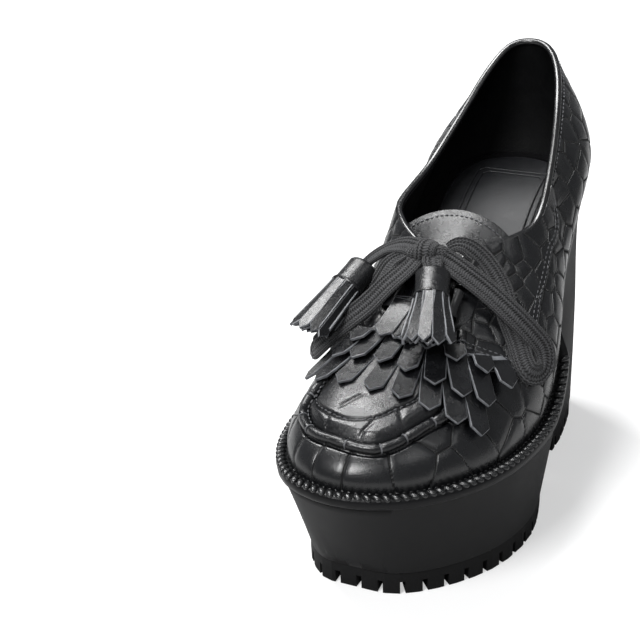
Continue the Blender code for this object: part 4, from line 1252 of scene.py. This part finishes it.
# Fringe: pointed strips fanned over the vamp, the furthest row first. Tips are places of
# the shoe; each strip runs back from its tip towards the throat.
fringe = {
    "width": 0.0082, "thick": 0.0013, "point": 0.0036, "curl": 0.0016, "tilt": 0.16,
    "tuck": 0.0016, "length": 0.030, "throat": (-0.001, 0.112), "clear": 0.012, "steps": 9,
    "rows": (
        {"node": "fringe_tier_1", "lift": 0.0006,
         "tips": ((0.0355, 0.0425, 0.064), (0.0280, 0.0392, 0.068), (0.0185, 0.0380, 0.072),
                  (0.0074, 0.0381, 0.074), (-0.0040, 0.0387, 0.074), (-0.0171, 0.0414, 0.073),
                  (-0.0270, 0.0455, 0.070), (-0.0368, 0.0534, 0.068))},
        {"node": "fringe_tier_2", "lift": 0.0022,
         "tips": ((0.0345, 0.0525, 0.070), (0.0262, 0.0487, 0.073), (0.0168, 0.0479, 0.076),
                  (0.0054, 0.0495, 0.079), (-0.0052, 0.0509, 0.080), (-0.0160, 0.0525, 0.078),
                  (-0.0240, 0.0550, 0.076))},
        {"node": "fringe_tier_3", "lift": 0.0038,
         "tips": ((0.0375, 0.0655, 0.071), (0.0300, 0.0625, 0.077), (0.0205, 0.0600, 0.081),
                  (0.0100, 0.0600, 0.084), (0.0000, 0.0605, 0.085), (-0.0100, 0.0625, 0.085),
                  (-0.0190, 0.0605, 0.081))},
    ),
}


def makeFringe(number, look):
    bm = bmesh.new()
    rng = random.Random(number + 11)
    centre = np.array(place(*fringe["throat"], 0))[:2]
    steps = fringe["steps"]
    for tip in look["tips"]:
        end = placeAll([tip])[0]
        back = centre - end[:2]
        far = np.linalg.norm(back)
        back = back / far
        reach = min(fringe["length"], far - fringe["clear"])
        shares = np.linspace(1, 0, steps)
        flat = np.array([end[:2] + back * (fringe["point"] + reach * s) for s in shares])
        u, v = onSkin(np.column_stack([flat, end[2] + reach * 0.7 * shares]))
        spots, normals = skin(u, v), skinNormal(u, v)
        lift = look["lift"] + fringe["curl"] * (1 - shares) ** 3 + rng.uniform(0, 0.0005)
        lift -= (lift + fringe["tuck"]) * smoothStep(-0.0028, 0.0004, facingDepth(u, v, spots))
        spots = spots + normals * lift[:, None]
        run = unit(np.gradient(spots, axis=0))
        tilt = rng.uniform(-fringe["tilt"], fringe["tilt"])
        rows = []
        for i in range(steps):
            side = unit(np.cross(run[i], normals[i]))
            lean = tilt * i / (steps - 1)
            rows.append((spots[i], side * math.cos(lean) + normals[i] * math.sin(lean),
                         normals[i] * math.cos(lean) - side * math.sin(lean)))
        joinInto(bm, leatherStrip(rows, fringe["width"] / 2, fringe["thick"], fringe["point"]))
    makePiece(f"fringeRow{number}", bm, [smoothLeather, cutEdgeHighlight], 35, [look["node"]])


for number, row in enumerate(fringe["rows"], start=1):
    makeFringe(number, row)
print("stage: fringe")

# Tongue: a smooth plate with a round stitched end
tongue = {
    "throat": 0.10191, "throatHeight": 0.10565, "slope": 0.66, "slopeUnder": 1.0,
    "bend": 20.0, "endBend": 10.5, "stitchInset": 0.0026,
    "start": 0.086, "end": 0.1226, "halfWidth": 0.0310, "foot": 0.42, "widens": 0.8, "round": 0.42,
    "thick": 0.0017,
}


def tonguePoint(across, along):
    past = smoothStep(tongue["throat"] - 0.004, tongue["throat"] + 0.004, along)
    slope = tongue["slopeUnder"] + (tongue["slope"] - tongue["slopeUnder"]) * past
    bend = tongue["bend"] + (tongue["endBend"] - tongue["bend"]) * smoothStep(0.106, 0.119, along)
    height = tongue["throatHeight"] + (along - tongue["throat"]) * slope - bend * across ** 2
    return np.column_stack([across, along - shoe["toeToOrigin"], height])


def tongueEnd(side):
    # how far along the round end is, from one side, -1, to the other, 1
    return tongue["end"] - (1 - np.sqrt(1 - 0.96 * side ** 2)) * tongue["halfWidth"] * tongue["round"]


def makeTongue():
    bm, s, t = gridMesh(60, 50)
    side = 2 * s - 1
    widening = tongue["foot"] + (1 - tongue["foot"]) * smoothStep(0, tongue["widens"], t)
    along = tongue["start"] + (tongueEnd(side) - tongue["start"]) * t
    putVerts(bm, tonguePoint(side * tongue["halfWidth"] * widening, along))
    facesOut(bm)
    if sum(f.normal.z for f in bm.faces) < 0:
        bmesh.ops.reverse_faces(bm, faces=bm.faces)
    bmesh.ops.solidify(bm, geom=bm.faces[:], thickness=tongue["thick"])
    facesOut(bm)
    piece = makePiece("tonguePlate", bm, [smoothLeather], 50, ["tongue"])
    addBevel(piece, 0.0005, 50)
    angle = np.linspace(-0.44, 0.44, 60) * np.pi
    side = np.sin(angle)
    inset = tongue["stitchInset"]
    row = tonguePoint(side * (tongue["halfWidth"] - inset), tongueEnd(side) - inset)
    normal = unit(np.column_stack([2 * tongue["bend"] * row[:, 0], np.full(60, -tongue["slope"]),
                                   np.ones(60)]))
    stitchPiece("tongueThread", [(row + normal * 0.0002, normal, topLine["stitch"])], threadFinish)


makeTongue()

# Lace loops: rolled glossy leather, one beside the other on each facing
loops = {"radius": 0.0029, "wall": 0.0009, "nodes": ("lace_loop_outer_1", "lace_loop_outer_2",
                                                      "lace_loop_inner_1", "lace_loop_inner_2")}


def makeLoops():
    for name in loops["nodes"]:
        a, b = nodeAxis(name)
        path = np.array([a + (b - a) * t for t in np.linspace(0, 1, 13)])
        up = np.repeat([unit(np.cross(b - a, (0, 1, 0)))], len(path), 0)
        side, up = sidesOf(path, up)

        def outer(around, along):
            angle = 2 * np.pi * around
            lap = 1 + 0.10 * (1 - smoothStep(0.0, 0.12, around)) + 0.04 * np.sin(2 * angle)
            size = loops["radius"] * lap * (1 + 0.05 * np.cos(2 * np.pi * along))
            return size * np.cos(angle), size * np.sin(angle)
        bm = sweep(path, side, up, outer, 28, caps=False)
        axis = Vector(unit(b - a))
        for vert in newVerts(bmesh.ops.extrude_edge_only(bm, edges=openEdges(bm))):
            middle = Vector(a) + axis * (vert.co - Vector(a)).dot(axis)
            vert.co = middle + (vert.co - middle) * (1 - loops["wall"] / loops["radius"])
        half = Vector((a + b) / 2)
        for vert in newVerts(bmesh.ops.extrude_edge_only(bm, edges=openEdges(bm))):
            vert.co -= axis * ((vert.co - half).dot(axis) * 0.98)
        bmesh.ops.holes_fill(bm, edges=openEdges(bm), sides=0)
        facesOut(bm)
        makePiece("rolled_" + name, bm, [glossLeather], 45, [name])


makeLoops()

# Welt: a smooth band with a row of slanted beads on its outer edge
welt = {"beadPitch": 0.0034, "beadLength": 0.0046, "beadHeight": 0.0026, "slant": 0.62,
        "rowInset": 0.0018, "beadLift": 0.0001, "beadsEnd": 0.119, "flush": 0.0004, "overhang": 0.0010,
        "blend": 0.050, "rimDrop": 0.006, "tuckFrom": 0.117, "tuckTo": 0.130, "mostTuck": 0.006,
        "search": (-0.006, 0.016), "beadBoxy": 0.8, "beadFill": 0.80, "follows": ("heel_block", "platform"),
        "bandProfile": ((-0.0064, -0.0040), (-0.0006, -0.0040), (0.0, -0.00344), (0.0002, -0.0020),
                        (0.0, -0.00056), (-0.0006, 0.0), (-0.0030, 0.0001), (-0.0064, 0.0)),
        "innerInset": 0.0047, "innerLift": 0.0002,
        "inner": {"pitch": 0.0025, "length": 0.0022, "thick": 0.0013}}


def weltEdge(stations):
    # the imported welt's outer top corner in upright sections round the shoe
    bm = mergedCopy("welt", joined=False)
    ends = np.array([[tuple(v.co) for v in e.verts] for e in bm.edges])
    bm.free()
    u = np.linspace(0, 60, stations, endpoint=False)
    foot, outs = skin(u, np.zeros(stations)), skinNormal(u, np.zeros(stations))
    outs[:, 2] = 0
    outs = unit(outs)
    corners = []
    for base, out in zip(foot, outs):
        across = np.array([-out[1], out[0], 0])
        heights = (ends - base) @ across
        cut = heights[:, 0] * heights[:, 1] < 0
        share = (heights[cut, 0] / (heights[cut, 0] - heights[cut, 1]))[:, None]
        points = ends[cut, 0] + (ends[cut, 1] - ends[cut, 0]) * share
        away = (points - base) @ out
        near = (away > welt["search"][0]) & (away < welt["search"][1])
        corners.append(points[near][np.argmax(away[near] + 0.7 * points[near, 2])])
    return np.array(corners)


def makeWelt():
    line = curveThrough(softened(weltEdge(240)), 480, closed=True)
    flow = np.roll(line, -1, axis=0) - np.roll(line, 1, axis=0)
    ways = unit(np.cross(flow * (1, 1, 0), (0, 0, 1)))
    if (ways * (line - line.mean(axis=0))).sum() < 0:
        ways = -ways
    up = unit(np.cross(ways, unit(flow)))
    if up[0][2] < 0:
        up = -up
    return line, ways, up


weltLine, weltWays, weltUps = makeWelt()


def weltTuck():
    # behind the beads the band is flush with the quarters: how far it goes in
    behind = smoothStep(welt["tuckFrom"], welt["tuckTo"], alongOf(weltLine))
    u, _ = onSkin(weltLine)
    proud = ((weltLine - skin(u, np.zeros(len(u)))) * weltWays).sum(-1) - welt["flush"]
    for _ in range(6):
        proud = softened(proud)
    return np.clip(proud, 0, welt["mostTuck"]) * behind


tuckIn = weltTuck()
print("welt tucked in by up to", tuckIn.max())
weltTree = treeOf(weltLine * (1, 1, 0))


def dressWelt():
    # band: rounded outer face, flat top running in under the upper
    profilePoints = np.array(welt["bandProfile"])
    line = weltLine - weltWays * tuckIn[:, None]

    def band(around, along):
        index = np.round(around * len(profilePoints)).astype(int) % len(profilePoints)
        return profilePoints[index, 0], profilePoints[index, 1]
    bm = sweep(line, weltWays, weltUps, band, len(profilePoints), closed=True)
    makePiece("weltBand", bm, [weltFinish], 60, ["welt"])

    def openRow(inset, lift):
        # the row's stretch round the forepart, from the inner waist to the outer one
        row = weltLine - weltWays * inset + weltUps * lift
        kept = alongOf(weltLine) < welt["beadsEnd"]
        first = [i for i in range(len(row)) if kept[i] and not kept[i - 1]][0]
        order = [(first + i) % len(row) for i in range(int(kept.sum()))]
        return row[order], weltUps[order], weltWays[order]
    beads = bmesh.new()
    row, ups, ways = openRow(welt["rowInset"], welt["beadLift"])
    steps = stepsAlong(row)
    count = int(steps[-1] / welt["beadPitch"])
    for i in range(count):
        at = (i + 0.5) * steps[-1] / count
        spot = atStep(row, steps, at)
        out, up = unit(atStep(ways, steps, at)), unit(atStep(ups, steps, at))
        run = unit(np.cross(up, out))
        lean = unit(out * math.cos(welt["slant"]) + run * math.sin(welt["slant"]))
        across = unit(np.cross(up, lean))
        size = (welt["beadPitch"] * welt["beadFill"], welt["beadHeight"], welt["beadLength"])
        addBall(beads, (12, 8), spot, (across, up, lean), size, welt["beadBoxy"])
    makePiece("weltBeads", beads, [beadFinish], 60)
    row, ups, _ = openRow(welt["innerInset"], welt["innerLift"])
    stitchPiece("weltThread", [(row, ups, welt["inner"])], beadFinish, slope=0.5)


dressWelt()
print("stage: welt")


# Platform, heel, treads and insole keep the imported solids' forms, with finer edges
def softCopy(node, name, material, angle, subdivide=0, edge=0):
    bm = mergedCopy(node)
    if node in welt["follows"]:
        # the walls' upper ends go in with the band
        for vert in bm.verts:
            index = weltTree.find((vert.co.x, vert.co.y, 0))[1]
            rim = weltLine[index, 2] - welt["rimDrop"]
            share = float(smoothStep(rim - welt["blend"], rim, vert.co.z))
            vert.co -= Vector(weltWays[index]) * (max(tuckIn[index] - welt["overhang"], 0) * share)
    piece = makePiece(name, bm, [material], angle, [node])
    if subdivide:
        layer = piece.data.attributes.new("crease_edge", "FLOAT", "EDGE")
        bm = bmesh.new()
        bm.from_mesh(piece.data)
        crease = [float(foldAt(e, 0) > angle) for e in bm.edges]
        bm.free()
        layer.data.foreach_set("value", crease)
        finer = piece.modifiers.new("finer", "SUBSURF")
        finer.levels = finer.render_levels = subdivide
    if edge:
        addBevel(piece, edge, angle)
    return piece


softCopy("platform", "platformWrap", platformFinish, 40, subdivide=2)
softCopy("heel_block", "heelWrap", heelFinish, 40, subdivide=2)
# The sock's embossed outline, with nothing inside it
sockFrame = {"centre": (0.0, 0.168), "outer": (0.0165, 0.0235), "inner": (0.0140, 0.0210),
             "corner": 0.004, "width": 0.0009, "height": 0.0007}


def roundedBox(centre, half, corner, count):
    points = []
    for sx, sy, start in ((1, 1, 0), (-1, 1, 90), (-1, -1, 180), (1, -1, 270)):
        for step in range(5):
            angle = math.radians(start + step * 22.5)
            points.append((centre[0] + sx * (half[0] - corner) + corner * math.cos(angle),
                           centre[1] + sy * (half[1] - corner) + corner * math.sin(angle)))
    return curveThrough(np.column_stack([np.array(points), np.zeros(len(points))]), count, closed=True)


def makeSockFrame():
    bm = mergedCopy("insole", joined=False)
    tree = BVHTree.FromBMesh(bm)
    bm.free()
    ridges = bmesh.new()
    for half in (sockFrame["outer"], sockFrame["inner"]):
        flat = roundedBox(sockFrame["centre"], half, sockFrame["corner"], 160)
        hits = [tree.ray_cast(place(x, y, 0.3), Vector((0, 0, -1))) for x, y, _ in flat]
        path = np.array([tuple(h[0]) for h in hits])
        normals = np.array([tuple(h[1]) for h in hits])
        path = path - normals * 0.00005
        joinInto(ridges, rope(path, normals, sockFrame["width"], sockFrame["height"], closed=True, ring=8))
    makePiece("sockFrame", ridges, [sockLeather], 60)


makeSockFrame()
softCopy("outsole", "outsoleTread", treadFinish, 30, edge=0.00035)
softCopy("heel_top_piece", "heelTread", treadFinish, 30, edge=0.00035)
sock = softCopy("insole", "insoleSock", sockLeather, 40, subdivide=2)
spread = {"widen": 1.045, "lengthen": 1.014}
centre = sum((v.co for v in sock.data.vertices), Vector()) / len(sock.data.vertices)
for vert in sock.data.vertices:
    vert.co.x = centre.x + (vert.co.x - centre.x) * spread["widen"]
    vert.co.y = centre.y + (vert.co.y - centre.y) * spread["lengthen"]
print("stage: sole")

# A plain pale floor and soft light
stage = {"floor": (0.50, 0.50, 0.50), "size": 12.0, "glow": 0.50, "sky": 0.30}


def makeStage():
    bm = bmesh.new()
    bmesh.ops.create_grid(bm, x_segments=1, y_segments=1, size=stage["size"])
    mesh = bpy.data.meshes.new("floor")
    bm.to_mesh(mesh)
    bm.free()
    material, tree, shader, _ = startMaterial("paleFloor")
    lit = mathNode(tree, "MULTIPLY", tree.nodes.new("ShaderNodeLightPath").outputs["Is Camera Ray"],
                   stage["glow"])
    setInputs(tree, shader, {"Base Color": (*stage["floor"], 1), "Roughness": 0.9,
                             "Emission Color": (1, 1, 1, 1), "Emission Strength": lit})
    mesh.materials.append(material)
    floor = bpy.data.objects.new("floor", mesh)
    floor.location = (0, 0, -0.0002)
    bpy.context.scene.collection.objects.link(floor)
    world = bpy.data.worlds.new("studio")
    bpy.context.scene.world = world
    world.use_nodes = True
    background = world.node_tree.nodes["Background"]
    background.inputs["Color"].default_value = (0.95, 0.97, 1.0, 1)
    background.inputs["Strength"].default_value = stage["sky"]


lamps = (
    {"name": "overhead", "at": (-0.85, 0.40, 1.95), "size": (0.55, 1.5), "power": 62.0},
    {"name": "frontFill", "at": (-0.45, -1.6, 2.0), "size": (0.8, 0.8), "power": 64.0},
    {"name": "right", "at": (1.0, -0.2, 1.6), "size": (0.5, 0.5), "power": 2.5},
)


def makeLamps():
    for look in lamps:
        data = bpy.data.lights.new(look["name"], "AREA")
        data.shape = "RECTANGLE"
        data.size, data.size_y = look["size"]
        data.energy = look["power"]
        lamp = bpy.data.objects.new(look["name"], data)
        bpy.context.scene.collection.objects.link(lamp)
        lamp.location = look["at"]
        aim = Vector((0, 0.02, 0.07)) - lamp.location
        lamp.rotation_euler = aim.to_track_quat("-Z", "Y").to_euler()


makeStage()
makeLamps()
bpy.context.scene.view_settings.view_transform = "Standard"
print("stage: floor and light")
